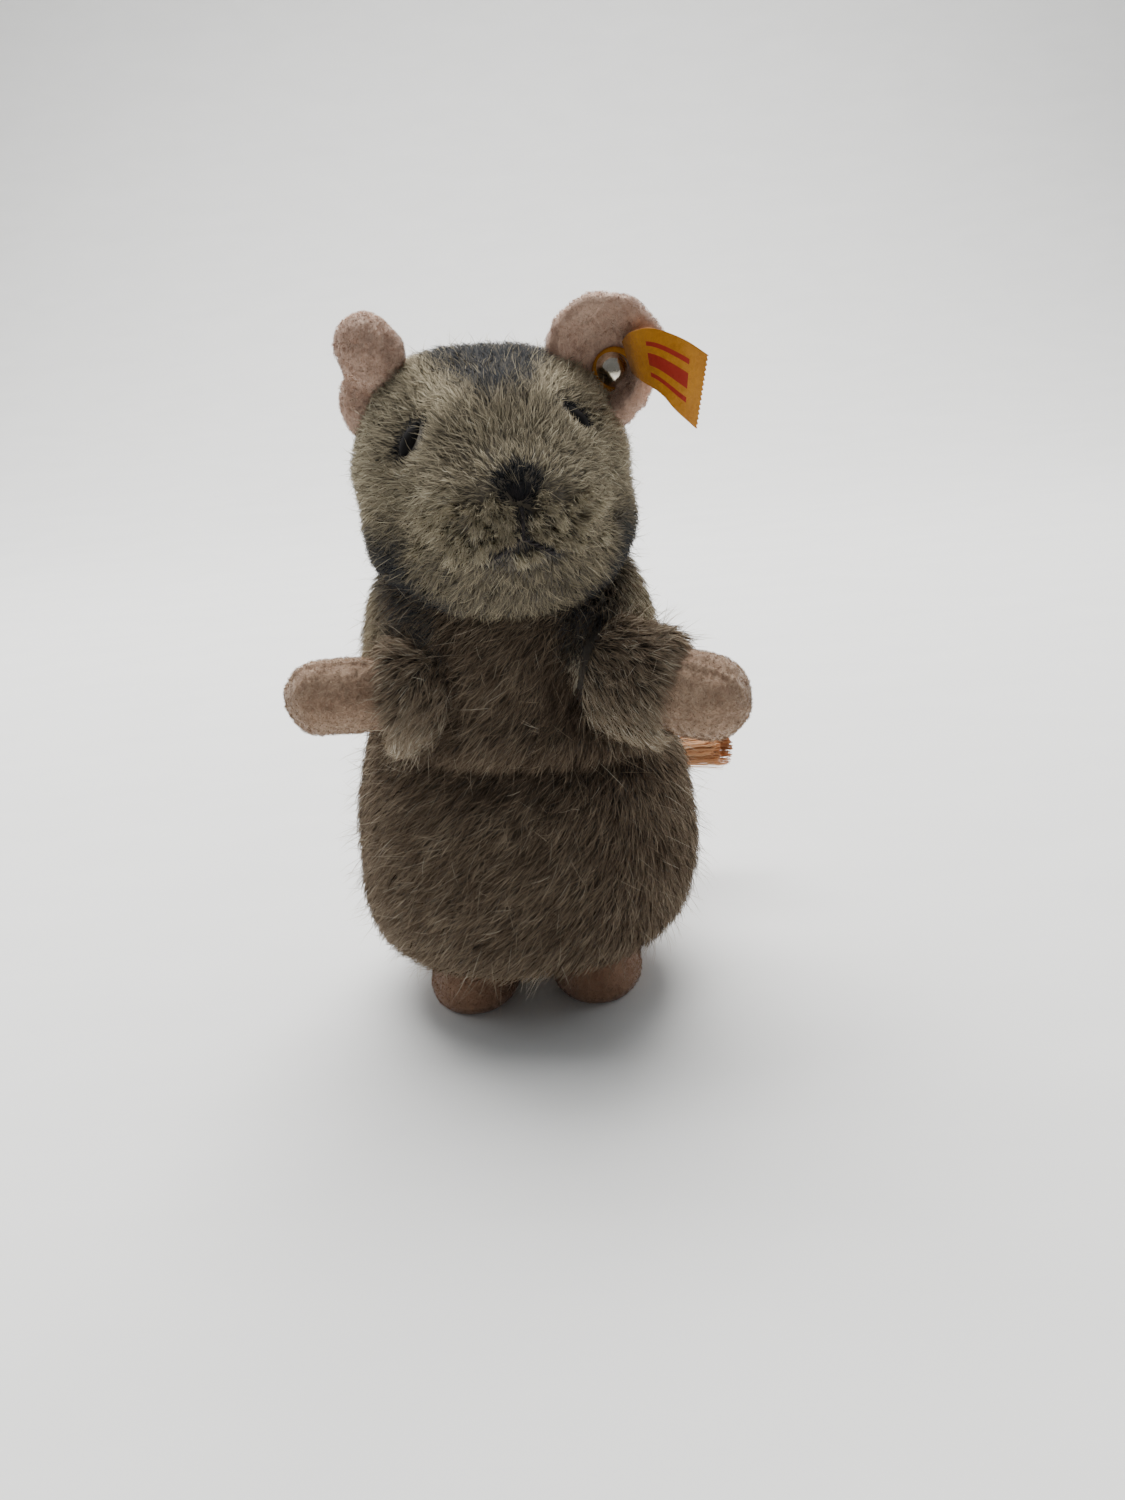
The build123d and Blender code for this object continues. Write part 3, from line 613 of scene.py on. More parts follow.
# The neck's pile grows above this height and past this distance from the middle.
NECK_Z = 58
NECK_INNER_X = 8
STUFFING_DEPTH = 1.6


def trunk_surface(inset):
    """The trunk's closed skin, this far under the pile's outline, with a crease round the waist."""
    heights, widths = np.array(TRUNK_OUTLINE).T
    turn = circle(96)
    front = np.clip(-np.sin(turn), 0, 1)
    crease_z = CREASE_Z - CREASE_SLOPE * np.cos(turn)
    levels = np.linspace(heights[0] + inset * 0.6, heights[-1], 90)
    outline = np.pad(np.interp(levels, heights, widths), 2, mode="edge")
    rows = []
    for level, width in zip(levels, np.convolve(outline, np.ones(5) / 5, mode="valid")):
        below = np.exp(-(((level - crease_z + 0.6) / 1.7) ** 2))
        above = np.exp(-(((level - crease_z - 3.4) / 2.2) ** 2))
        out = (0.8 * above - below) * (0.3 + 0.7 * front)
        x = (width - inset + out) * np.cos(turn) - HIP_SHIFT * smoothstep(26, 11, level)
        y = ((width - inset) * TRUNK_DEPTH + out) * np.sin(turn)
        rows.append(np.stack([x, y, np.full(len(turn), level)], axis=1))
    base = [rows[0] * (share, share, 1) - (0, 0, 0.1 - 0.1 * share) for share in (0.35, 0.7, 0.9)]
    return lofted(base + rows)


def trunk_flow(place):
    """The nap runs down and to the mouse's right on the front, and straight down behind."""
    front = smoothstep(4, -14, place[:, 1])
    lean = -0.25 - 0.75 * front
    side = smoothstep(-8, -24, place[:, 0])
    lean = lean * (1 + 0.9 * side) * smoothstep(26, 12, place[:, 0])
    swirl = wave_noise(place, 26.0, 3, 2) * 0.5
    low = smoothstep(26, 10, place[:, 2])
    return np.stack([lean + swirl * 0.7, 0.25 * swirl, -0.85 - 0.5 * low], axis=1)


def crease_band(place, height, half_width):
    """1 in a band across the front, at a height above the crease, and 0 away from it."""
    band = np.exp(-(((place[:, 2] - CREASE_Z - height) / half_width) ** 2))
    return band * smoothstep(-6, -14, place[:, 1])


def arm_shadow(place):
    """1 on the trunk in the groove round the root of an arm, and 0 away from it."""
    total = np.zeros(len(place))
    for side in ARMS:
        shoulder, way, _, _ = arm_axes(side)
        offset = place - shoulder
        reached = offset @ way
        gap = np.linalg.norm(offset - reached[:, None] * way, axis=1)
        total += smoothstep(10.5, 8.0, gap) * smoothstep(-3.0, -0.5, reached)
    return total


def trunk_pile():
    """The trunk's pile all over, its stray hairs, and the neck's pile on top of it."""
    place, normal = scatter(trunk_points, trunk_faces, TRUNK_STRANDS)
    x, y, z = place.T
    count = len(place)
    length = np.clip(TRUNK_LENGTH + rng.normal(size=count) * 0.6, 2.4, 5.8)
    shade = 0.45 + 0.12 * rng.normal(size=count) + 0.07 * wave_noise(place, 7.0, 5)
    # Painted light: a little lighter towards the bottom, for light thrown up from the floor, and where the
    # trunk faces sideways, for rim light.
    shade = shade + 0.03 * smoothstep(24, 12, z) + 0.02 * smoothstep(0.6, 0.95, np.abs(normal[:, 0]))
    under_fringe = crease_band(place, -2.0, 2.6)
    fringe = crease_band(place, 3.0, 2.0)
    # Painted shadow: darker in the band under the crease, where the chest overhangs it, and in the grooves
    # round the arms.
    shade = shade - 0.15 * under_fringe - 0.20 * arm_shadow(place)
    length = length + 0.9 * fringe - 0.9 * under_fringe - 1.3 * smoothstep(15, 9, z)
    flow = trunk_flow(place)
    grow("body_pile", place, normal, flow, length, BODY_WIDTH, 0.66,
         shade, body_pile, "mouse", clumps=TRUNK_CLUMPS, clumping=0.2, spread=0.32)
    stray_hairs("body_strays", place, normal, flow, TRUNK_STRAYS, 6.0, 0.78, body_pile)
    neck = (z > NECK_Z) & (np.abs(x) > NECK_INNER_X) & (rng.random(count) < smoothstep(9, 1, y))
    neck_pile(place[neck], normal[neck])


def neck_pile(place, normal):
    """The pile at the sides of the neck, in the face's colours: dark, lighter over the shoulders, and
    lighter where it faces sideways, which is painted rim light.
    """
    shade = 0.16 + 0.08 * rng.normal(size=len(place)) + 0.16 * smoothstep(NECK_Z + 6, NECK_Z, place[:, 2])
    # Lighter where the pile faces sideways: painted rim light.
    shade = shade + 0.40 * smoothstep(0.60, 0.88, np.abs(normal[:, 0]))
    grow("neck_pile", place, normal, trunk_flow(place), NECK_LENGTH, NECK_WIDTH, 0.85,
         np.clip(shade, 0, 1), face_pile, "mouse", spread=0.5)


# ---------------------------------------------------------------- head

HEAD_TURN = math.radians(6.0)
HEAD_BALLS = [
    ((-0.2, -1.0, 83.6), (18.7, 16.4, 13.4)),
    ((1.2, 0.0, 89.4), (14.8, 13.4, 9.2)),
    ((-6.4, 0.6, 89.6), (9.6, 10.4, 8.6)),
    ((0.2, -3.4, 75.2), (18.4, 15.0, 12.2)),
    ((0.6, -13.8, 79.4), (11.6, 13.4, 10.4)),
    ((0.8, -11.0, 72.6), (13.6, 10.6, 8.8)),
    ((0.8, -11.4, 86.0), (11.6, 9.6, 9.4)),
]
HEAD_MIDDLE = (0.3, -5.0, 80.0)
# Seen from in front: each eye's place, the half-sizes of its slit, and the slit's lean in degrees.
EYES = {"right": (-11.0, 88.9), "left": (10.5, 90.1)}
EYE_SLITS = {"right": (3.1, 1.45), "left": (2.8, 1.1)}
EYE_LEANS = {"right": 48, "left": -42}
NOSE_PLACE = (1.2, 82.6)
MOUTH_MIDDLE = (1.0, 77.2)
MOUTH_CORNERS = ((-2.6, 74.6), (5.2, 74.4))
THREAD_RADIUS = 0.3


def turned(points, angle):
    """Points turned about the mouse's upright axis."""
    points = np.asarray(points, float)
    c, s = math.cos(angle), math.sin(angle)
    out = points.copy()
    out[..., 0] = c * points[..., 0] - s * points[..., 1]
    out[..., 1] = s * points[..., 0] + c * points[..., 1]
    return out


def turn_head(points):
    return turned(points, HEAD_TURN)


def unturn_head(points):
    return turned(points, -HEAD_TURN)


def soft_min(a, b, k):
    h = np.clip(0.5 + 0.5 * (b - a) / k, 0, 1)
    return b * (1 - h) + a * h - k * h * (1 - h)


def joined_balls(points, balls, soft, grow_by=0.0):
    """Below nothing inside a set of stretched balls, which run together softly."""
    total = None
    for centre, radii in balls:
        radii = np.array(radii) + grow_by
        offset = (points - np.array(centre)) / radii
        length = np.linalg.norm(offset, axis=1)
        slope = np.linalg.norm(offset / radii, axis=1)
        distance = (length - 1) * length / np.maximum(slope, 1e-6)
        total = distance if total is None else soft_min(total, distance, soft)
    return total


def hollow(points, centre, reach):
    """1 in the middle of a soft hollow, and 0 away from it."""
    return np.exp(-(((points - np.array(centre)) / np.array(reach)) ** 2).sum(1))


def rays(polar, turn):
    """A ring of directions at one angle from straight down."""
    across = math.sin(polar)
    height = np.full(len(turn), -math.cos(polar))
    return np.stack([across * np.cos(turn), across * np.sin(turn), height], axis=1)


def edge_along(field, middle, direction, near, far):
    """Where rays from a middle leave a shape, somewhere between near and far."""
    low = np.full(len(direction), near)
    high = np.full(len(direction), far)
    for _ in range(26):
        centre = (low + high) / 2
        inside = field(middle + direction * centre[:, None]) < 0
        low, high = np.where(inside, centre, low), np.where(inside, high, centre)
    return middle + direction * low[:, None]


def head_field(points, grow_by=0.0):
    """Below nothing inside the head, in its own straight-ahead frame."""
    total = joined_balls(points, HEAD_BALLS, 3.2, grow_by)
    for x, z in EYES.values():
        total = total + hollow(points, (x, -19.0, z), (3.4, 6.0, 2.6))
    return total


def head_front(x, z):
    """The point on the face at this x and z."""
    return edge_along(head_field, np.array([x, -5.0, z]), np.array([[0.0, -1.0, 0.0]]), 0.0, 40.0)[0]


def head_surface(grow_by=0.0):
    turn = circle(128)
    middle = np.array(HEAD_MIDDLE)
    rows = []
    for k in range(1, 100):
        direction = rays(math.pi * k / 100, turn)
        hit = edge_along(lambda at: head_field(at, grow_by), middle, direction, 4.0, 40.0)
        rows.append(turn_head(hit))
    return lofted(rows)


def head_flow(place):
    """The nap runs back from the nose over the face, and down the cheeks."""
    local = unturn_head(place)
    flow = unit(local - np.array([NOSE_PLACE[0], -27.0, NOSE_PLACE[1] - 1.0]))
    swirl = wave_noise(place, 16.0, 8, 2)
    flow = flow + np.stack([swirl * 0.25, np.zeros(len(place)), -0.15 - 0.1 * swirl], axis=1)
    return turn_head(flow)


# ---------------------------------------------------------------- face


def face_line_gap(x, z):
    """How far points of the face lie, seen from in front, from the mouth's three stitched lines."""
    gap = np.full(len(x), 99.0)
    for (ax, az), (bx, bz) in ((NOSE_PLACE, MOUTH_MIDDLE), *((MOUTH_MIDDLE, end) for end in MOUTH_CORNERS)):
        way = np.array([bx - ax, bz - az])
        t = np.clip(((x - ax) * way[0] + (z - az) * way[1]) / way.dot(way), 0, 1)
        gap = np.minimum(gap, np.hypot(x - ax - t * way[0], z - az - t * way[1]))
    return gap


def nose_share(x, z):
    """1 inside the nose's patch, which narrows to a point below, and 0 away from it."""
    up = z - NOSE_PLACE[1]
    half = np.interp(up, [-3.4, -1.4, 1.0, 2.4, 3.2], [0.3, 1.5, 2.9, 2.2, 0.4])
    edge = smoothstep(0.9, -0.5, np.abs(x - NOSE_PLACE[0]) - half)
    return edge * smoothstep(-4.0, -2.8, up) * smoothstep(3.8, 2.6, up)


def thread(name, points):
    """Two strands of thread twisted together along a line."""
    steps = np.concatenate([[0], np.cumsum(np.linalg.norm(np.diff(points, axis=0), axis=1))])
    along = np.linspace(0, steps[-1], max(8, int(steps[-1] / 0.12)))
    line = np.stack([np.interp(along, steps, points[:, k]) for k in range(3)], axis=1)
    tangent = unit(np.gradient(line, axis=0))
    side = unit(np.cross(tangent, (0.3, 1, 0.1)))
    up = np.cross(side, tangent)
    all_points = []
    all_faces = []
    turn = circle(8)[:, None]
    for ply in (0, math.pi):
        rows = []
        for k, distance in enumerate(along):
            angle = ply + distance * 2 * math.pi / (THREAD_RADIUS * 7)
            off_line = side[k] * math.cos(angle) + up[k] * math.sin(angle)
            ring = side[k] * np.cos(turn) + up[k] * np.sin(turn)
            rows.append(line[k] + off_line * THREAD_RADIUS * 0.5 + ring * THREAD_RADIUS * 0.62)
        ply_points, ply_faces = lofted(rows)
        start = sum(len(part) for part in all_points)
        all_points.append(ply_points)
        all_faces += [tuple(v + start for v in face) for face in ply_faces]
    return mesh_object(name, np.vstack(all_points), all_faces, thread_dark, "mouse")


def face_path(ends, steps, out):
    """A line on the face between two places seen from in front."""
    (ax, az), (bx, bz) = ends
    path = []
    for t in np.linspace(0, 1, steps):
        at = head_front(ax + (bx - ax) * t, az + (bz - az) * t)
        path.append(at + np.array([0, -out, 0]))
    return turn_head(np.array(path))


def make_mouth():
    lines = [
        face_path(((NOSE_PLACE[0], 81.0), MOUTH_MIDDLE), 12, 0.35),
        face_path((MOUTH_MIDDLE, MOUTH_CORNERS[0]), 10, 0.3),
        face_path((MOUTH_MIDDLE, MOUTH_CORNERS[1]), 10, 0.3),
    ]
    pieces = [thread(f"mouth_thread_{k + 1}", line) for k, line in enumerate(lines)]
    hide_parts("mouth_stitching")


def make_nose():
    """A small padded patch of satin stitches. Its fuzz is part of the head's pile."""
    rows = []
    for level in np.linspace(1.0, 0.08, 12):
        ring = []
        for angle in circle(40):
            x = NOSE_PLACE[0] + 1.5 * level * math.cos(angle) * (1 + 0.35 * math.sin(angle))
            z = NOSE_PLACE[1] + 1.2 * level * math.sin(angle) + 0.3
            stitch = 0.06 * math.sin(x * 14)
            ring.append(head_front(x, z) + np.array([0, -(0.12 * (1 - level**2) + 0.02 + stitch), 0]))
        rows.append(turn_head(np.array(ring)))
    rows.insert(0, rows[0] + np.array([0, 0.9, 0]))
    points, faces = lofted(rows)
    pad = mesh_object("nose_pad", points, faces, thread_dark, "mouse")
    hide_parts("nose_stitching")


def make_eye(side):
    """A dull dark bead pressed into its slit, so that only a narrow almond of it is left."""
    ex, ez = EYES[side]
    middle = head_front(ex, ez) + np.array([0, 0.9, 0])
    lean = math.radians(EYE_LEANS[side])
    long_way = np.array([math.cos(lean), 0, math.sin(lean)])
    short_way = np.array([-math.sin(lean), 0, math.cos(lean)])
    half_long, half_short = EYE_SLITS[side]
    turn = circle(40)[:, None]
    rows = []
    for polar in np.linspace(0.06, math.pi - 0.06, 24):
        reach = math.sin(polar)
        along = reach * half_long * 0.9 * np.cos(turn)
        across = reach * (half_short + 0.1) * np.sin(turn) * (1 + 0.12 * np.cos(turn))
        ring = middle + np.array([0, 1.2, 0]) * math.cos(polar) + long_way * along + short_way * across
        rows.append(turn_head(ring))
    points, faces = lofted(rows)
    bead = mesh_object(f"eye_bead_{side}", points, faces, eye_black, "mouse")
    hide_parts(f"eye_{side}")


def eye_gap(x, z):
    """For points of the face seen from in front, the distance to the nearest eye in slit half-sizes."""
    nearest = np.full(len(x), 99.0)
    for side, (ex, ez) in EYES.items():
        lean = math.radians(EYE_LEANS[side])
        along = (x - ex) * math.cos(lean) + (z - ez) * math.sin(lean)
        across = -(x - ex) * math.sin(lean) + (z - ez) * math.cos(lean)
        half = EYE_SLITS[side]
        nearest = np.minimum(nearest, np.hypot(along / half[0], across / half[1]))
    return nearest


def face_zones(place):
    """For strands of the head: the shares of front, nose and muzzle, and the gaps to stitching and eyes."""
    x, y, z = unturn_head(place).T
    front = smoothstep(-8, -14, y)
    nose = nose_share(x, z) * front
    to_mouth = np.hypot((x - 1.2) / 1.25, z - 78.3)
    muzzle = smoothstep(7.0, 4.5, to_mouth) * front * (1 - nose)
    eyes = np.where(y < -6, eye_gap(x, z), 9)
    return front, nose, muzzle, face_line_gap(x, z), eyes


def head_marks(x, y, z):
    """The dark stripe that widens up the forehead, and the dark of the cheeks and under them."""
    stripe_half = np.interp(z, [88, 92.5, 96, 100], [0.2, 2.4, 5.8, 10.2])
    stripe = smoothstep(3.2, -2.4, np.abs(x - 1.0) - stripe_half) * smoothstep(89.5, 97, z)
    cheek = smoothstep(81, 74, z) * smoothstep(8.5, 12.5, np.abs(x)) * smoothstep(-18, -12, y)
    under = smoothstep(72, 67, z) * smoothstep(6, 9, np.abs(x)) * smoothstep(-20, -16, y)
    return stripe, np.maximum(cheek, under)


def head_pile():
    """The head's pile: shorter towards the nose and round the eyes, and bare along the stitching."""
    place, normal = scatter(head_points, head_faces, HEAD_STRANDS)
    front, nose, muzzle, stitched, eyes = face_zones(place)
    bare = (eyes < 0.75) | ((stitched < 0.3) & (front > 0.5) & (nose < 0.5))
    bare |= rng.random(len(place)) < 0.3 * muzzle
    place, normal = place[~bare], normal[~bare]
    front, nose, muzzle, stitched, eyes = face_zones(place)
    x, y, z = unturn_head(place).T
    count = len(place)
    to_nose = np.linalg.norm(unturn_head(place) - np.array([1.0, -27.0, 81.0]), axis=1)
    length = 1.4 + 1.7 * smoothstep(4, 17, to_nose) + rng.normal(size=count) * 0.35
    length = length * (1 - 0.3 * muzzle) * (1 - 0.15 * nose)
    length = np.clip(length * (0.4 + 0.6 * smoothstep(0.9, 2.0, eyes)), 0.7, 5.0)
    shade = 0.60 + 0.12 * rng.normal(size=count) + 0.06 * wave_noise(place, 6.0, 6)
    # Painted shade: darker towards the chin, under the face, and darker round the mouth, in the gaps
    # between the tufts.
    shade -= 0.18 * smoothstep(80, 70, z) * front
    shade -= 0.20 * muzzle + 0.34 * smoothstep(1.1, 0.4, stitched) * front
    stripe, cheek = head_marks(x, y, z)
    shade -= 0.52 * stripe * (0.75 + 0.5 * rng.random(count)) + 0.42 * cheek
    shade = np.where(rng.random(count) < nose * 1.3, 0.05 * rng.random(count), np.clip(shade, 0.08, 1))
    # Black strands round each eye: painted shade of the hollow that the bead sits in.
    shade = np.where(rng.random(count) < smoothstep(1.25, 0.85, eyes), 0.0, shade)
    lift = 0.75 + 0.3 * muzzle + 0.3 * nose
    flow = head_flow(place)
    grow("head_pile", place, normal, flow, length, FACE_WIDTH, lift,
         shade, face_pile, "mouse", clumps=HEAD_CLUMPS, clumping=0.4, spread=0.55)
    stray_hairs("head_strays", place, normal, flow, HEAD_STRAYS, 3.6, 0.62, face_pile)


def stray_hairs(name, place, normal, flow, count, reach, shade, material):
    """Single thin hairs that stand out past the pile and soften its outline."""
    chosen = rng.choice(len(place), size=count, replace=False)
    length = reach * (0.8 + 0.5 * rng.random(count))
    shades = np.clip(shade + 0.12 * rng.normal(size=count), 0, 1)
    grow(name, place[chosen], normal[chosen], flow[chosen], length, STRAY_WIDTH, 1.05,
         shades, material, "mouse", droop=0.35, spread=0.9)


def muzzle_tufts():
    """Short clipped tufts, each a small brush of pile, round the mouth."""
    tufts = []
    while len(tufts) < TUFTS:
        x = 1.3 + rng.normal() * 3.8
        z = 77.6 + rng.normal() * 2.7
        gap = face_line_gap(np.array([x]), np.array([z]))[0]
        near = min([9.0] + [math.hypot(x - tx, z - tz) for tx, tz in tufts])
        nose = nose_share(np.array([x]), np.array([z]))[0]
        if gap >= 1.1 and near >= 1.2 and 74.4 < z < 82.0 and nose <= 0.2:
            tufts.append((x, z))
    roots = []
    ways = []
    owner = []
    for number, (x, z) in enumerate(tufts):
        root = head_front(x, z)
        out = unit(root - np.array(HEAD_MIDDLE) + rng.normal(size=3) * 3.0)
        for _ in range(STRANDS_PER_TUFT):
            spot = rng.normal(size=2) * 0.42
            roots.append(head_front(x + spot[0], z + spot[1]) + out * 0.05)
            ways.append(out)
            owner.append(number)
    roots = turn_head(np.array(roots))
    normal = turn_head(np.array(ways))
    shades = 0.60 + 0.24 * rng.random(len(tufts))
    shade = shades[np.array(owner)] + 0.09 * rng.normal(size=len(roots))
    reach = (1.8 + 0.7 * rng.random(len(tufts)))[np.array(owner)]
    flow = np.tile((0.0, 0.0, -1.0), (len(roots), 1)) + 0.35 * rng.normal(size=(len(roots), 3))
    grow("muzzle_tufts", roots, normal, flow, reach, TUFT_WIDTH, 1.4,
         shade, face_pile, "mouse", droop=0.12, spread=0.9)


# ---------------------------------------------------------------- felt

# The right ear's two lobes, the fold between them, and the cup's opening at its outer side.
FOLDED_EAR = [
    ((-15.9, -3.0, 101.6), (4.2, 3.2, 4.0)),
    ((-14.8, -3.6, 99.6), (4.4, 3.0, 4.4)),
    ((-17.2, -1.8, 94.2), (3.2, 2.4, 5.2)),
]
FOLD_LINE = ((-20.8, -4.4, 97.2), (-14.2, -6.4, 94.0))
EAR_CUP = (-20.6, 0.6, 100.4)
# The left ear: the drawing plane of its cup, the button's place on it, and how the felt is shaped.
EAR_LEFT = ((17.2, -2.4, 96.7), (0.97, -0.25, 0), (-0.25, -0.96, 0.12))
BUTTON_PLACE = (0.8, -1.2)
EAR_RADIUS = 6.6
CUP_DEPTH = 3.4
CUP_THICK = 1.6
RIM_THICK = 4.4
FOOT_PINCH = 0.12
FOOT_FOLD = 1.4
TOP_LEAN = 1.0
SIDE_CURL = 1.2


def fuzz(name, points, faces, count, material, body, length=FUZZ_LENGTH, where=None):
    """Short matted fibres standing off felt in every direction."""
    place, normal = scatter(points, faces, count, where)
    flow = rng.normal(size=(len(place), 3))
    reach = length * (0.45 + 0.9 * rng.random(len(place)))
    shade = rng.random(len(place))
    grow(name, place, normal, flow, reach, FUZZ_WIDTH, 0.6, shade, material, body,
         droop=1.2, segments=2, clumps=max(8, count // 16), clumping=0.45)


def frame_of(origin, x_dir, z_dir):
    """Origin and three axes of a plane given like a drawing plane."""
    z_axis = unit(z_dir)
    x_axis = np.array(x_dir, float)
    x_axis = unit(x_axis - x_axis.dot(z_axis) * z_axis)
    return np.array(origin, float), np.array([x_axis, np.cross(z_axis, x_axis), z_axis])


def ear_ring(share, side, turn):
    """A ring of the left ear's cup, at a share of its radius and on one side of the felt."""
    inner = min(share, 1.0)
    thick = RIM_THICK - (RIM_THICK - CUP_THICK) * (1 - smoothstep(0.45, 0.95, inner))
    x = EAR_RADIUS * share * np.cos(turn) * 0.92
    y = EAR_RADIUS * share * np.sin(turn) * 1.04
    up = y / EAR_RADIUS
    foot_part = smoothstep(0.15, -1.05, up)
    z = side * thick / 2 - CUP_DEPTH * (1 - inner**2)
    z = z + foot_part * (FOOT_FOLD * (np.abs(x) / EAR_RADIUS) ** 1.3 - 0.8)
    x = x * (1 - FOOT_PINCH * foot_part)
    top = np.clip(up, 0, 1.3)
    near = -SIDE_CURL * np.clip(x / EAR_RADIUS, 0, 1.3) ** 1.6 * smoothstep(-0.75, 0.35, up)
    far = SIDE_CURL * np.clip(-x / EAR_RADIUS, 0, 1.3) ** 1.6
    z = z + TOP_LEAN * top**2 + near + far
    return np.stack([x - 0.3 * near, y - 0.22 * TOP_LEAN * top**3, z], axis=1)


def left_ear(name):
    """A felt cup with a thick soft rim. Its foot is pinched, and its top leans over the opening."""
    turn = circle(96)
    shares = np.linspace(0.06, 1, 26)
    profile = [(share, 1.0) for share in shares]
    for angle in np.radians(np.linspace(75, -75, 9)):
        profile.append((1.0 + 0.5 * RIM_THICK / EAR_RADIUS * math.cos(angle), math.sin(angle)))
    profile += [(share, -1.0) for share in shares[::-1]]
    points, faces = lofted([ear_ring(share, side, turn) for share, side in profile])
    origin, axes = frame_of(*EAR_LEFT)
    return felt_ear(name, origin + points @ axes, faces, (0.22, 5.0, 62), (0.1, 1.5, 72), EAR_FUZZ["left"])


def folded_field(points):
    """Below nothing inside the folded ear: its curled top, its foot, and the fold between them."""
    start, end = np.array(FOLD_LINE)
    way = end - start
    share = np.clip((points - start) @ way / way.dot(way), 0, 1)
    gap = np.linalg.norm(points - start - share[:, None] * way, axis=1)
    fold = 3.2 * np.exp(-((gap / 0.95) ** 2))
    return joined_balls(points, FOLDED_EAR, 1.3) + fold + 2.2 * hollow(points, EAR_CUP, (2.6, 3.0, 4.2))


def folded_ear(name):
    """The right ear, folded over towards the front so that its soft round back shows."""
    middle = np.array((-16.4, -2.4, 97.6))
    turn = circle(110)
    rings = [rays(math.pi * k / 80, turn) for k in range(1, 80)]
    points, faces = lofted([edge_along(folded_field, middle, ring, 0.2, 14.0) for ring in rings])
    return felt_ear(name, points, faces, (0.2, 4.0, 61), (0.1, 1.5, 71), EAR_FUZZ["right"])


def felt_ear(name, points, faces, broad, fine, fibres):
    """An ear's felt with its fuzz. Broad and fine lumps each have a height, a size and a seed."""
    lumps = sum(height * wave_noise(points, size, seed) for height, size, seed in (broad, fine))
    points = roughened(points, faces, lumps)
    piece = mesh_object(name, points, faces, felt_pink, "mouse")
    fuzz(name + "_fuzz", points, faces, fibres, fuzz_pink, "mouse")
    return piece


# Each arm: where its line leaves the shoulder, which way it goes, how far its sleeve and paw reach, how
# far out the sleeve's own pile starts past the trunk's, the paw's half-thickness, the turn of its seam, and
# a seed.
ARMS = {
    "right": {"start": (-8.8, -13.0, 54.0), "way": (-1.0, -0.10, 0.06), "sleeve": 8.9, "paw": 23.2,
              "pile_start": 0.5, "girth": 5.0, "seam": 100, "seed": 5},
    "left": {"start": (10.6, -12.6, 55.8), "way": (0.86, -0.42, -0.20), "sleeve": 13.2, "paw": 24.7,
             "pile_start": 2.6, "girth": 5.6, "seam": 62, "seed": 4},
}
SLEEVE_END = 2.2


def arm_axes(side):
    arm = ARMS[side]
    way = unit(arm["way"])
    level = unit(np.cross(way, (0, 0, 1)))
    return np.array(arm["start"], float), way, level, np.cross(level, way)


def arm_ring(side, distance, sideways, upwards):
    """A ring of points round an arm, at a distance along it."""
    start, way, level, up = arm_axes(side)
    return start + way * distance + level * sideways[:, None] + up * upwards[:, None]


def paw(side):
    """A stuffed felt paw. The seam where its two felts meet is a low ridge over the tip."""
    arm = ARMS[side]
    reach, girth = arm["paw"], arm["girth"]
    back = arm["sleeve"] - 3.0
    tip = girth + 0.4
    turn = circle(80)
    seam_turn = math.radians(arm["seam"])
    stations = list(np.linspace(back, reach - tip, 22))
    stations += [reach - tip + tip * math.sin(math.radians(a)) for a in range(5, 90, 5)]
    rows = []
    for d in stations:
        end = max(0.0, (d - (reach - tip)) / tip)
        radius = (girth - 0.3 + 0.5 * smoothstep(back, reach - 8, d)) * math.sqrt(1 - end**2.2)
        r = radius
        for crossing in (seam_turn, seam_turn + math.pi):
            gap = np.abs((turn - crossing + math.pi) % (2 * math.pi) - math.pi) * radius
            r = r + 0.42 * np.exp(-((gap / 0.42) ** 2)) - 0.22 * np.exp(-((gap / 1.5) ** 2))
        rows.append(arm_ring(side, d, 0.93 * r * np.cos(turn), 1.02 * r * np.sin(turn)))
    points, faces = lofted(rows)
    points = roughened(points, faces, 0.2 * wave_noise(points, 6.0, 31 + arm["seed"]))
    soft_piece(f"felt_paw_{side}", points, faces, felt_paw, "mouse", "felt_paw", f"paw_{side}", 0.8)
    fuzz(f"paw_fuzz_{side}", points, faces, PAW_FUZZ, fuzz_paw, "mouse")


def sleeve(side):
    """A short sleeve, narrow where it leaves the shoulder and gathered in round the paw."""
    reach = ARMS[side]["sleeve"]
    turn = circle(72)
    below = np.sin(turn) * (np.sin(turn) < 0)
    rows = []
    stations = list(np.linspace(-6.0, reach - SLEEVE_END, 26))
    stations += [reach - SLEEVE_END + SLEEVE_END * math.sin(a) for a in (0.5, 1.0, 1.4)]
    for d in stations:
        end = max(0.0, (d - (reach - SLEEVE_END)) / SLEEVE_END)
        radius = 7.0 - 1.6 * end**2.5 - 3.4 * smoothstep(4, -5, d)
        upwards = radius * np.sin(turn) + 0.8 * below * smoothstep(-2, 8, d)
        rows.append(arm_ring(side, d, 0.92 * radius * np.cos(turn), upwards))
    points, faces = lofted(rows)
    soft_piece(f"sleeve_skin_{side}", points, faces, backing, "mouse", "pile", f"sleeve_{side}", 0.8)
    sleeve_pile(side, points, faces)


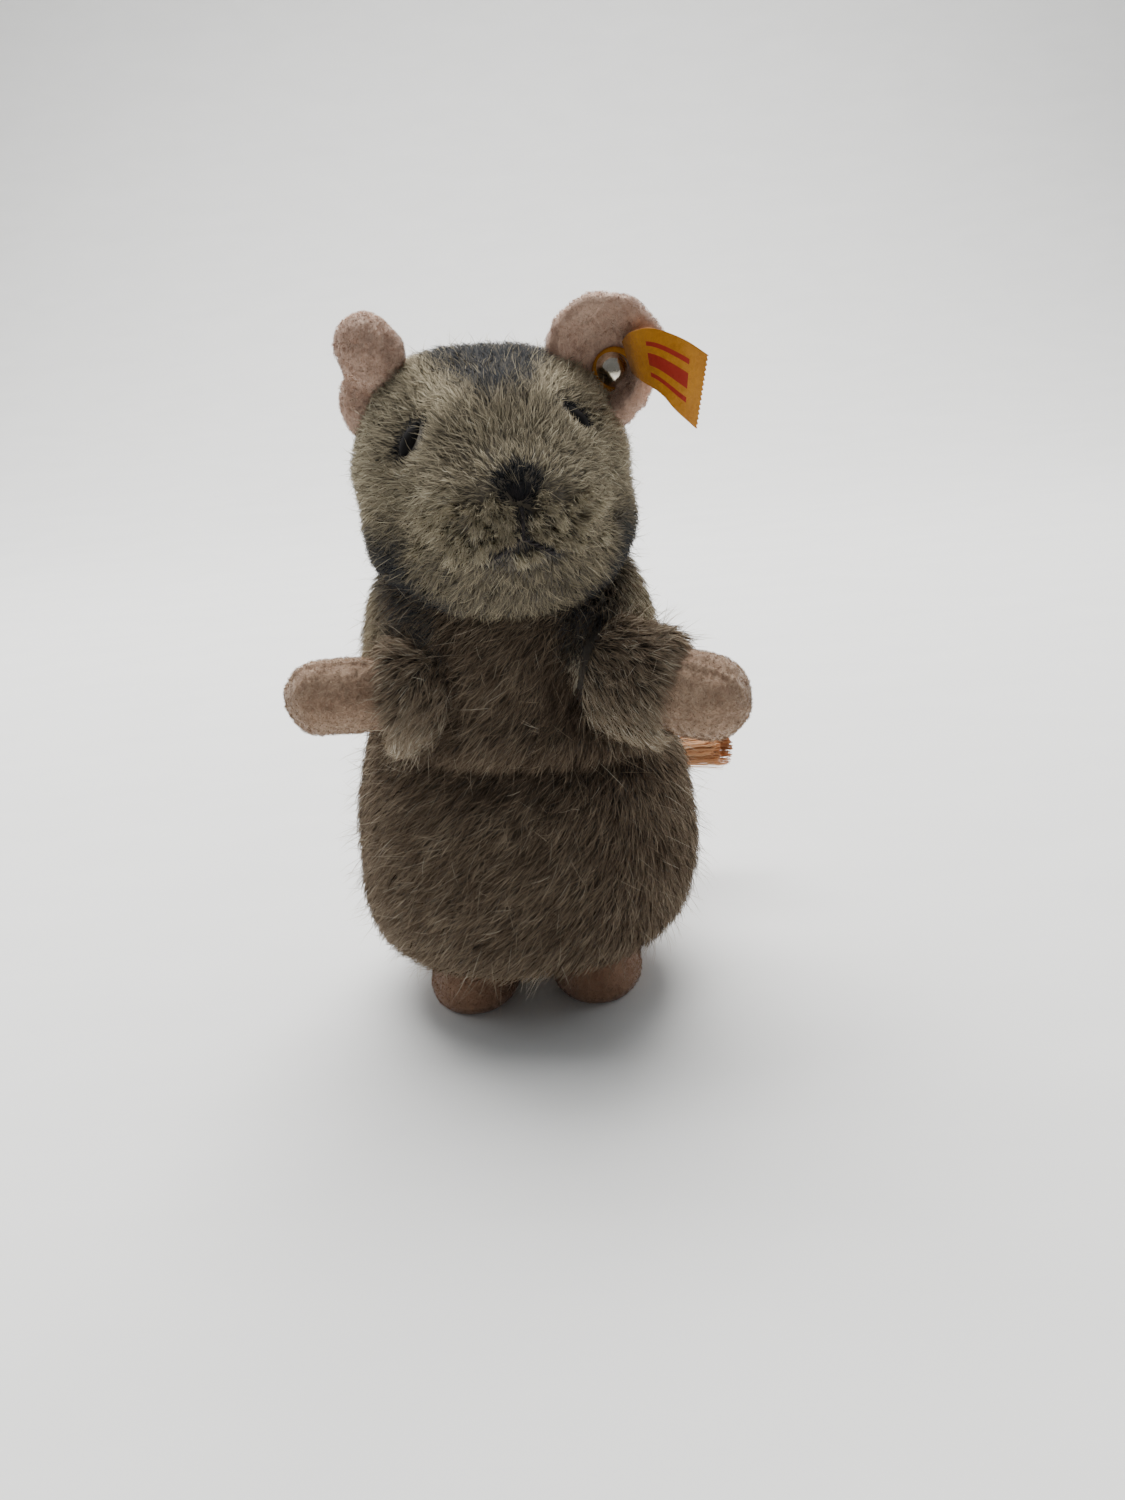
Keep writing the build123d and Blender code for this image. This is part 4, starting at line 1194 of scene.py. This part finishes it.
def sleeve_pile(side, points, faces):
    arm = ARMS[side]
    start, way, _, up = arm_axes(side)
    place, normal = scatter(points, faces, SLEEVE_STRANDS)
    reached = (place - start) @ way
    # The sleeve's own pile starts only past pile_start, so a strip of dark backing shows round the arm's
    # root: painted shade of the groove.
    keep = (reached > arm["pile_start"]) & ~((reached > arm["sleeve"] - 0.4) & (normal @ way > 0.85))
    place, normal = place[keep], normal[keep]
    swirl = wave_noise(place, 9.0, 40 + arm["seed"], 2)[:, None] * (0.5, 0.2, -0.3)
    flow = way * 0.8 + np.array([0, 0, -0.6]) + swirl
    length = np.clip(SLEEVE_LENGTH + 0.5 * rng.normal(size=len(place)), 1.8, 4.6)
    low = smoothstep(0.2, -0.9, normal @ up)
    shade = 0.56 + 0.15 * rng.normal(size=len(place)) + 0.08 * wave_noise(place, 5.0, 41) + 0.16 * low
    grow(f"sleeve_pile_{side}", place, normal, flow, length, BODY_WIDTH, 0.8,
         shade, body_pile, "mouse", clumps=SLEEVE_CLUMPS, clumping=0.45)
    stray_hairs(f"sleeve_strays_{side}", place, normal, flow, SLEEVE_STRAYS, 5.2, 0.75, body_pile)


FOOT_LENGTH = 26.0
FOOT_WIDTH = 14.8
FOOT_HEIGHT = 7.8
FOOT_CENTRE_X = {"right": -11.0, "left": 9.1}
FOOT_CENTRE_Y = -0.5


def foot(side):
    """A felt shoe: round toe, flat sole, and a sewn edge just above the sole."""
    turn = circle(96)
    rows = [foot_ring(0.0, share, turn) for share in (0.3, 0.65, 0.88)]
    rows += [foot_ring(level, 1.0, turn) for level in (*np.linspace(0.0, 0.9, 14), 0.95, 0.985)]
    points, faces = lofted(rows)
    points = points + np.array([FOOT_CENTRE_X[side], FOOT_CENTRE_Y, 0])
    lumps = 0.16 * wave_noise(points, 6.0, 50 + ARMS[side]["seed"])
    points = roughened(points, faces, lumps * smoothstep(0.3, 2.0, points[:, 2]))
    leg = f"leg_{side}"
    soft_piece(f"felt_shoe_{side}", points, faces, felt_foot_shaded, leg, "felt_paw", f"foot_felt_{side}", 0.7)
    fuzz(f"shoe_fuzz_{side}", points, faces, SHOE_FUZZ, fuzz_foot_shaded, leg,
         length=0.6, where=lambda at: (at[:, 2] > 0.7).astype(float))


def foot_ring(level, share, turn):
    """The shoe's outline at a share of its height."""
    round_over = (1 - level**2.4) ** (1 / 2.4)
    sole = -0.35 * math.exp(-((level * FOOT_HEIGHT / 0.55) ** 2)) if level > 0 else -0.6
    edge = 0.28 * math.exp(-(((level * FOOT_HEIGHT - 1.5) / 0.35) ** 2))
    half_x = (FOOT_WIDTH / 2) * round_over + sole + edge
    half_y = (FOOT_LENGTH / 2) * (0.55 + 0.45 * round_over) + sole + edge
    power = 2 / 2.3
    x = half_x * np.sign(np.cos(turn)) * np.abs(np.cos(turn)) ** power
    y = half_y * np.sign(np.sin(turn)) * np.abs(np.sin(turn)) ** power
    return np.stack([x * share, y * share, np.full(len(turn), level * FOOT_HEIGHT)], axis=1)


# ---------------------------------------------------------------- tail

# The tail's route, in millimetres about the mouse's axis: the same points as the CAD tail.
TAIL_ROUTE = [
    (2.0, 20.5, 18.5), (5.5, 29.5, 19.3), (13.5, 35.0, 21.6), (24.0, 34.0, 24.0), (33.5, 29.0, 25.6),
]
TAIL_DIAMETER = 4.0
TAIL_FIBRES = 620
TAIL_LOCKS = 9


def make_tail():
    """The tail's core, a cord along the route. The fibres that cover it are made later."""
    data = bpy.data.curves.new("tail_core", "CURVE")
    data.dimensions = "3D"
    data.bevel_depth = TAIL_DIAMETER / 2 * MM
    data.bevel_resolution = 6
    data.resolution_u = 16
    data.use_fill_caps = True
    spline = data.splines.new("NURBS")
    spline.points.add(len(TAIL_ROUTE) - 1)
    route = metres(TAIL_ROUTE)
    for point, place in zip(spline.points, route):
        point.co = (*place, 1)
    spline.order_u = 3
    spline.use_endpoint_u = True
    data.materials.append(tail_yarn)
    core = placed("tail_core", data, "mouse")
    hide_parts("tail_cord")
    return core, route


def tail_line(share):
    """Points of the route's smooth curve, with share from 0 at the body to 1 at the cut end."""
    route = np.array(TAIL_ROUTE)
    knots = np.array([0, 0, 0, 1, 2, 3, 3, 3]) / 3
    share = np.clip(np.asarray(share, float), 0, 1 - 1e-9)
    basis = [((share >= knots[k]) & (share < knots[k + 1])).astype(float) for k in range(len(knots) - 1)]
    for degree in (1, 2):
        basis = [spline_weight(basis, knots, k, degree, share) for k in range(len(knots) - 1 - degree)]
    return sum(weight[:, None] * route[k] for k, weight in enumerate(basis))


def spline_weight(basis, knots, k, degree, share):
    """One point's weight at this degree, from two weights of the degree below."""
    total = np.zeros(len(share))
    left = knots[k + degree] - knots[k]
    right = knots[k + degree + 1] - knots[k + 1]
    if left > 0:
        total += (share - knots[k]) / left * basis[k]
    if right > 0:
        total += (knots[k + degree + 1] - share) / right * basis[k + 1]
    return total


def tail_spine():
    """The line of the tail with two steps past its end, and the two directions across it."""
    spine = tail_line(np.linspace(0.0, 1.0, 15))
    end_way = unit(spine[-1] - spine[-2])
    spine = np.vstack([spine, spine[-1] + end_way * 1.8, spine[-1] + end_way * 3.6])
    tangent = unit(np.gradient(spine, axis=0))
    side = unit(np.cross(tangent, (0, 0, 1)))
    return spine, side, np.cross(side, tangent)


def tail_fibre(number, frame_lines, lock_turn, lock_out):
    """One flat fibre's points in pairs along the tail, and its shade."""
    spine, side, up = frame_lines
    rows = len(spine)
    lock = number % TAIL_LOCKS
    turn = lock_turn[lock] + rng.normal() * 0.36
    out = (TAIL_DIAMETER / 2 + 0.1) * (0.8 + 0.28 * rng.random()) * lock_out[lock] / 1.15
    drift = rng.normal() * 0.25
    shade = np.clip(0.25 + 0.07 * lock + 0.16 * rng.normal(), 0, 1)
    width = 0.11 + 0.06 * rng.random()
    stop = 1.0 - 0.95 * rng.random() ** 1.6
    splay = rng.random() ** 0.7
    points = []
    for k in range(rows):
        angle = turn + drift * k / rows + 0.05 * math.sin(3 * k + number)
        spread = out * (1 + (0.2 + 0.5 * splay) * smoothstep(rows - 7, rows - 1, k))
        near = 0.8 + 0.2 * smoothstep(0, 3, k)
        centre = spine[k] if k < rows - 1 else spine[k - 1] + (spine[k] - spine[k - 1]) * stop * 0.95
        radial = side[k] * math.cos(angle) + up[k] * math.sin(angle)
        around = -side[k] * math.sin(angle) + up[k] * math.cos(angle)
        at = centre + radial * spread * near
        points += [at - around * width / 2, at + around * width / 2]
    return points, shade


def tail_fibres():
    """Long combed fibres laid along the cord in a few locks, cut off square past its end."""
    frame_lines = tail_spine()
    rows = len(frame_lines[0])
    lock_turn = rng.random(TAIL_LOCKS) * 2 * math.pi
    lock_out = 1.15 + 0.25 * rng.random(TAIL_LOCKS)
    points = []
    faces = []
    shades = []
    for number in range(TAIL_FIBRES):
        corners = [len(points) + 2 * k for k in range(rows - 1)]
        faces += [(corner, corner + 1, corner + 3, corner + 2) for corner in corners]
        fibre_points, shade = tail_fibre(number, frame_lines, lock_turn, lock_out)
        points += fibre_points
        shades += [shade] * 2 * rows
    piece = mesh_object("tail_fibres", points, faces, tail_pile, "mouse")
    set_uv(piece, shades, np.tile(np.repeat(np.arange(rows) / (rows - 1), 2), TAIL_FIBRES))
    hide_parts("tail_tuft")
    return piece


# ---------------------------------------------------------------- tag

# The label's two long edges from the button out, in millimetres about the axis.
TAG_TOP = [
    (19.8, -2.6, 99.0), (20.9, -6.4, 100.2), (23.4, -9.0, 100.4), (27.2, -8.6, 98.8), (30.8, -7.0, 96.4),
]
TAG_LOW = [
    (20.9, -2.6, 94.9), (21.9, -6.6, 93.8), (24.0, -9.2, 92.0), (26.2, -9.0, 89.4), (28.8, -7.0, 86.9),
]
TAG_THICK = 0.4
LABEL_COLUMNS = 60
LABEL_ROWS = 61
# How far the label's eye lies behind the ear's drawing plane, towards the bottom of the cup.
LABEL_EYE_DEPTH = 1.9


def smooth_rail(points, share):
    """A smooth line through the points."""
    points = np.asarray(points, float)
    at = np.clip(share, 0, 1) * (len(points) - 1)
    k = np.minimum(at.astype(int), len(points) - 2)
    t = (at - k)[:, None]
    padded = np.vstack([2 * points[0] - points[1], points, 2 * points[-1] - points[-2]])
    p0, p1, p2, p3 = (padded[k + n] for n in range(4))
    bend = (2 * p0 - 5 * p1 + 4 * p2 - p3) * t**2 + (3 * p1 - p0 - 3 * p2 + p3) * t**3
    return 0.5 * (2 * p1 + (p2 - p0) * t + bend)


def label_grid():
    """Rows of points over the label's middle layer. Its far end is cut in small teeth."""
    share = np.linspace(0, 1, LABEL_COLUMNS)
    top = smooth_rail(TAG_TOP, share)
    low = smooth_rail(TAG_LOW, share)
    rows = []
    for k in range(LABEL_ROWS):
        row = low + (top - low) * k / (LABEL_ROWS - 1)
        tooth = 0.15 * abs((k % 4) - 2) - 0.15
        row[-1] = row[-1] + unit(row[-1] - row[-2]) * tooth
        rows.append(row)
    return np.stack(rows)


def label_faces(half):
    """Faces of the label's front, of its rear, whose points come this many later, and of its edge."""
    faces = []
    for r in range(LABEL_ROWS - 1):
        for c in range(LABEL_COLUMNS - 1):
            a, b = r * LABEL_COLUMNS + c, r * LABEL_COLUMNS + c + 1
            d, e = a + LABEL_COLUMNS, b + LABEL_COLUMNS
            faces.append((a, b, e, d))
            faces.append((half + a, half + d, half + e, half + b))
    edge = list(range(LABEL_COLUMNS))
    edge += [r * LABEL_COLUMNS + LABEL_COLUMNS - 1 for r in range(1, LABEL_ROWS)]
    edge += [(LABEL_ROWS - 1) * LABEL_COLUMNS + c for c in range(LABEL_COLUMNS - 2, -1, -1)]
    edge += [r * LABEL_COLUMNS for r in range(LABEL_ROWS - 2, 0, -1)]
    for k, a in enumerate(edge):
        b = edge[(k + 1) % len(edge)]
        faces.append((b, a, half + a, half + b))
    return faces


def make_tag():
    """The cloth label that the button holds, a little wavy along its length."""
    grid = label_grid()
    normal = unit(np.cross(np.gradient(grid, axis=1), np.gradient(grid, axis=0)))
    ripple = 0.12 * np.sin(np.linspace(0, 9, LABEL_COLUMNS))[None, :, None]
    front = (grid + normal * (TAG_THICK / 2 + ripple)).reshape(-1, 3)
    rear = (grid - normal * (TAG_THICK / 2 - ripple)).reshape(-1, 3)
    half = len(front)
    points = np.vstack([front, rear])
    piece = mesh_object("cloth_label", points, label_faces(half), flag_cloth, "mouse")
    number = np.arange(2 * half) % half
    set_uv(piece, number % LABEL_COLUMNS / LABEL_COLUMNS, number // LABEL_COLUMNS / LABEL_ROWS)
    return piece


def tag_eye():
    """The label's eye round the button."""
    origin, axes = frame_of(*EAR_LEFT)
    turn = circle(48)
    wobble = 0.25 * np.sin(turn * 2 + 0.6)
    ring_section = ((2.3, -0.1), (2.35, 0.2), (2.7, 0.3), (3.1, 0.2), (3.15, -0.1), (2.7, -0.2))
    rows = []
    for radius, height in ring_section:
        x = BUTTON_PLACE[0] + radius * np.cos(turn)
        y = BUTTON_PLACE[1] + radius * np.sin(turn)
        rows.append(origin + np.stack([x, y, height + wobble - LABEL_EYE_DEPTH], axis=1) @ axes)
    points = np.vstack(rows)
    faces = [[v % len(points) for v in face] for face in ring_faces(len(rows) + 1, len(turn))]
    return mesh_object("cloth_label_eye", points, faces, tag_cloth, "mouse")


# ---------------------------------------------------------------- build

make_camera()
tail_yarn = cloth_material("tail_yarn", (120, 72, 40), (205, 140, 92), 500.0, 0.5)
tail_pile = pile_material(
    "tail_pile",
    [(0.0, (90, 50, 32)), (0.35, (170, 116, 78)), (0.7, (210, 158, 116)), (1.0, (232, 190, 150))],
    root_shade=0.8, tip_light=1.05,
)
core, route = make_tail()
make_light()
make_stage()

BODY_STOPS = [
    (0.0, (50, 41, 35)),
    (0.25, (90, 77, 64)),
    (0.5, (128, 112, 94)),
    (0.75, (166, 151, 130)),
    (1.0, (216, 207, 187)),
]
FACE_STOPS = [
    (0.0, (30, 31, 35)),
    (0.16, (66, 67, 69)),
    (0.34, (112, 104, 89)),
    (0.6, (162, 151, 127)),
    (0.8, (196, 185, 159)),
    (1.0, (228, 219, 195)),
]
body_pile = pile_material("pile_body", BODY_STOPS)
face_pile = pile_material("pile_face", FACE_STOPS)
# The backing is dark like the shade deep in the pile: painted shade where it shows through gaps and
# grooves.
backing = cloth_material("pile_backing", (46, 41, 35), (84, 76, 66), 900.0, 0.6)
face_backing = cloth_material("face_backing", (74, 68, 58), (112, 104, 90), 900.0, 0.6)
felt_pink = cloth_material("felt_pink", (180, 143, 123), (224, 194, 172), 1100.0, 1.0)
felt_paw = cloth_material("felt_paw", (148, 117, 96), (190, 163, 138), 1100.0, 1.0)
# The feet's felt is the paws' felt made darker: painted shade under the body.
felt_foot_shaded = cloth_material("felt_foot_shaded", (142, 106, 84), (168, 133, 108), 1100.0, 1.0)
fuzz_pink = pile_material("felt_fuzz_pink", [(0.0, (186, 148, 128)), (1.0, (240, 214, 194))], 0.82, 1.1)
fuzz_paw = pile_material("felt_fuzz_paw", [(0.0, (142, 114, 95)), (1.0, (212, 186, 160))], 0.82, 1.1)
# The feet's fuzz, darker than the paws' for the same painted shade.
fuzz_foot_shaded = pile_material("felt_fuzz_foot_shaded", [(0.0, (134, 100, 80)), (1.0, (180, 148, 122))], 0.82, 1.1)
thread_dark = cloth_material("dark_thread", (26, 24, 26), (58, 52, 52), 2200.0, 0.5, 0.8, 0.1)
eye_black = cloth_material("eye_bead", (6, 5, 5), (16, 12, 11), 700.0, 0.2, 0.7, 0.0)
tag_cloth = cloth_material("tag_cloth", (164, 102, 20), (198, 134, 38), 1800.0, 0.5, 0.7, 0.1)
flag_cloth = cloth_material("flag_cloth", (164, 102, 20), (198, 134, 38), 1800.0, 0.5, 0.7, 0.1)
printed_bars(flag_cloth, (158, 40, 24))

fibres = tail_fibres()

trunk_points, trunk_faces = trunk_surface(PILE_DEPTH)
head_points, head_faces = head_surface()
wadding = cloth_material("wadding", (150, 140, 120), (200, 190, 168), 500.0, 1.0)
soft_piece("body_skin", trunk_points, trunk_faces, backing, "mouse", "pile", "body_plush", 0.9)
soft_piece("head_skin", head_points, head_faces, face_backing, "mouse", "pile", "head_plush", 0.9)
body_stuffing = trunk_surface(PILE_DEPTH + STUFFING_DEPTH)
soft_piece("body_stuffing", *body_stuffing, wadding, "mouse", "wadding", "body_wadding", 0.9)
head_stuffing = head_surface(-STUFFING_DEPTH)
soft_piece("head_stuffing", *head_stuffing, wadding, "mouse", "wadding", "head_wadding", 0.9)

trunk_pile()
head_pile()
muzzle_tufts()
make_nose()
make_mouth()
make_eye("right")
make_eye("left")
finish_nodes()

for side in ("right", "left"):
    sleeve(side)
    paw(side)
    foot(side)
ear_right = folded_ear("felt_ear_right")
ear_left = left_ear("felt_ear_left")
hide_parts("ear_front_right", "ear_back_right")
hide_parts("ear_front_left", "ear_back_left")
tag = make_tag()
eye = tag_eye()
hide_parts("ear_tag")
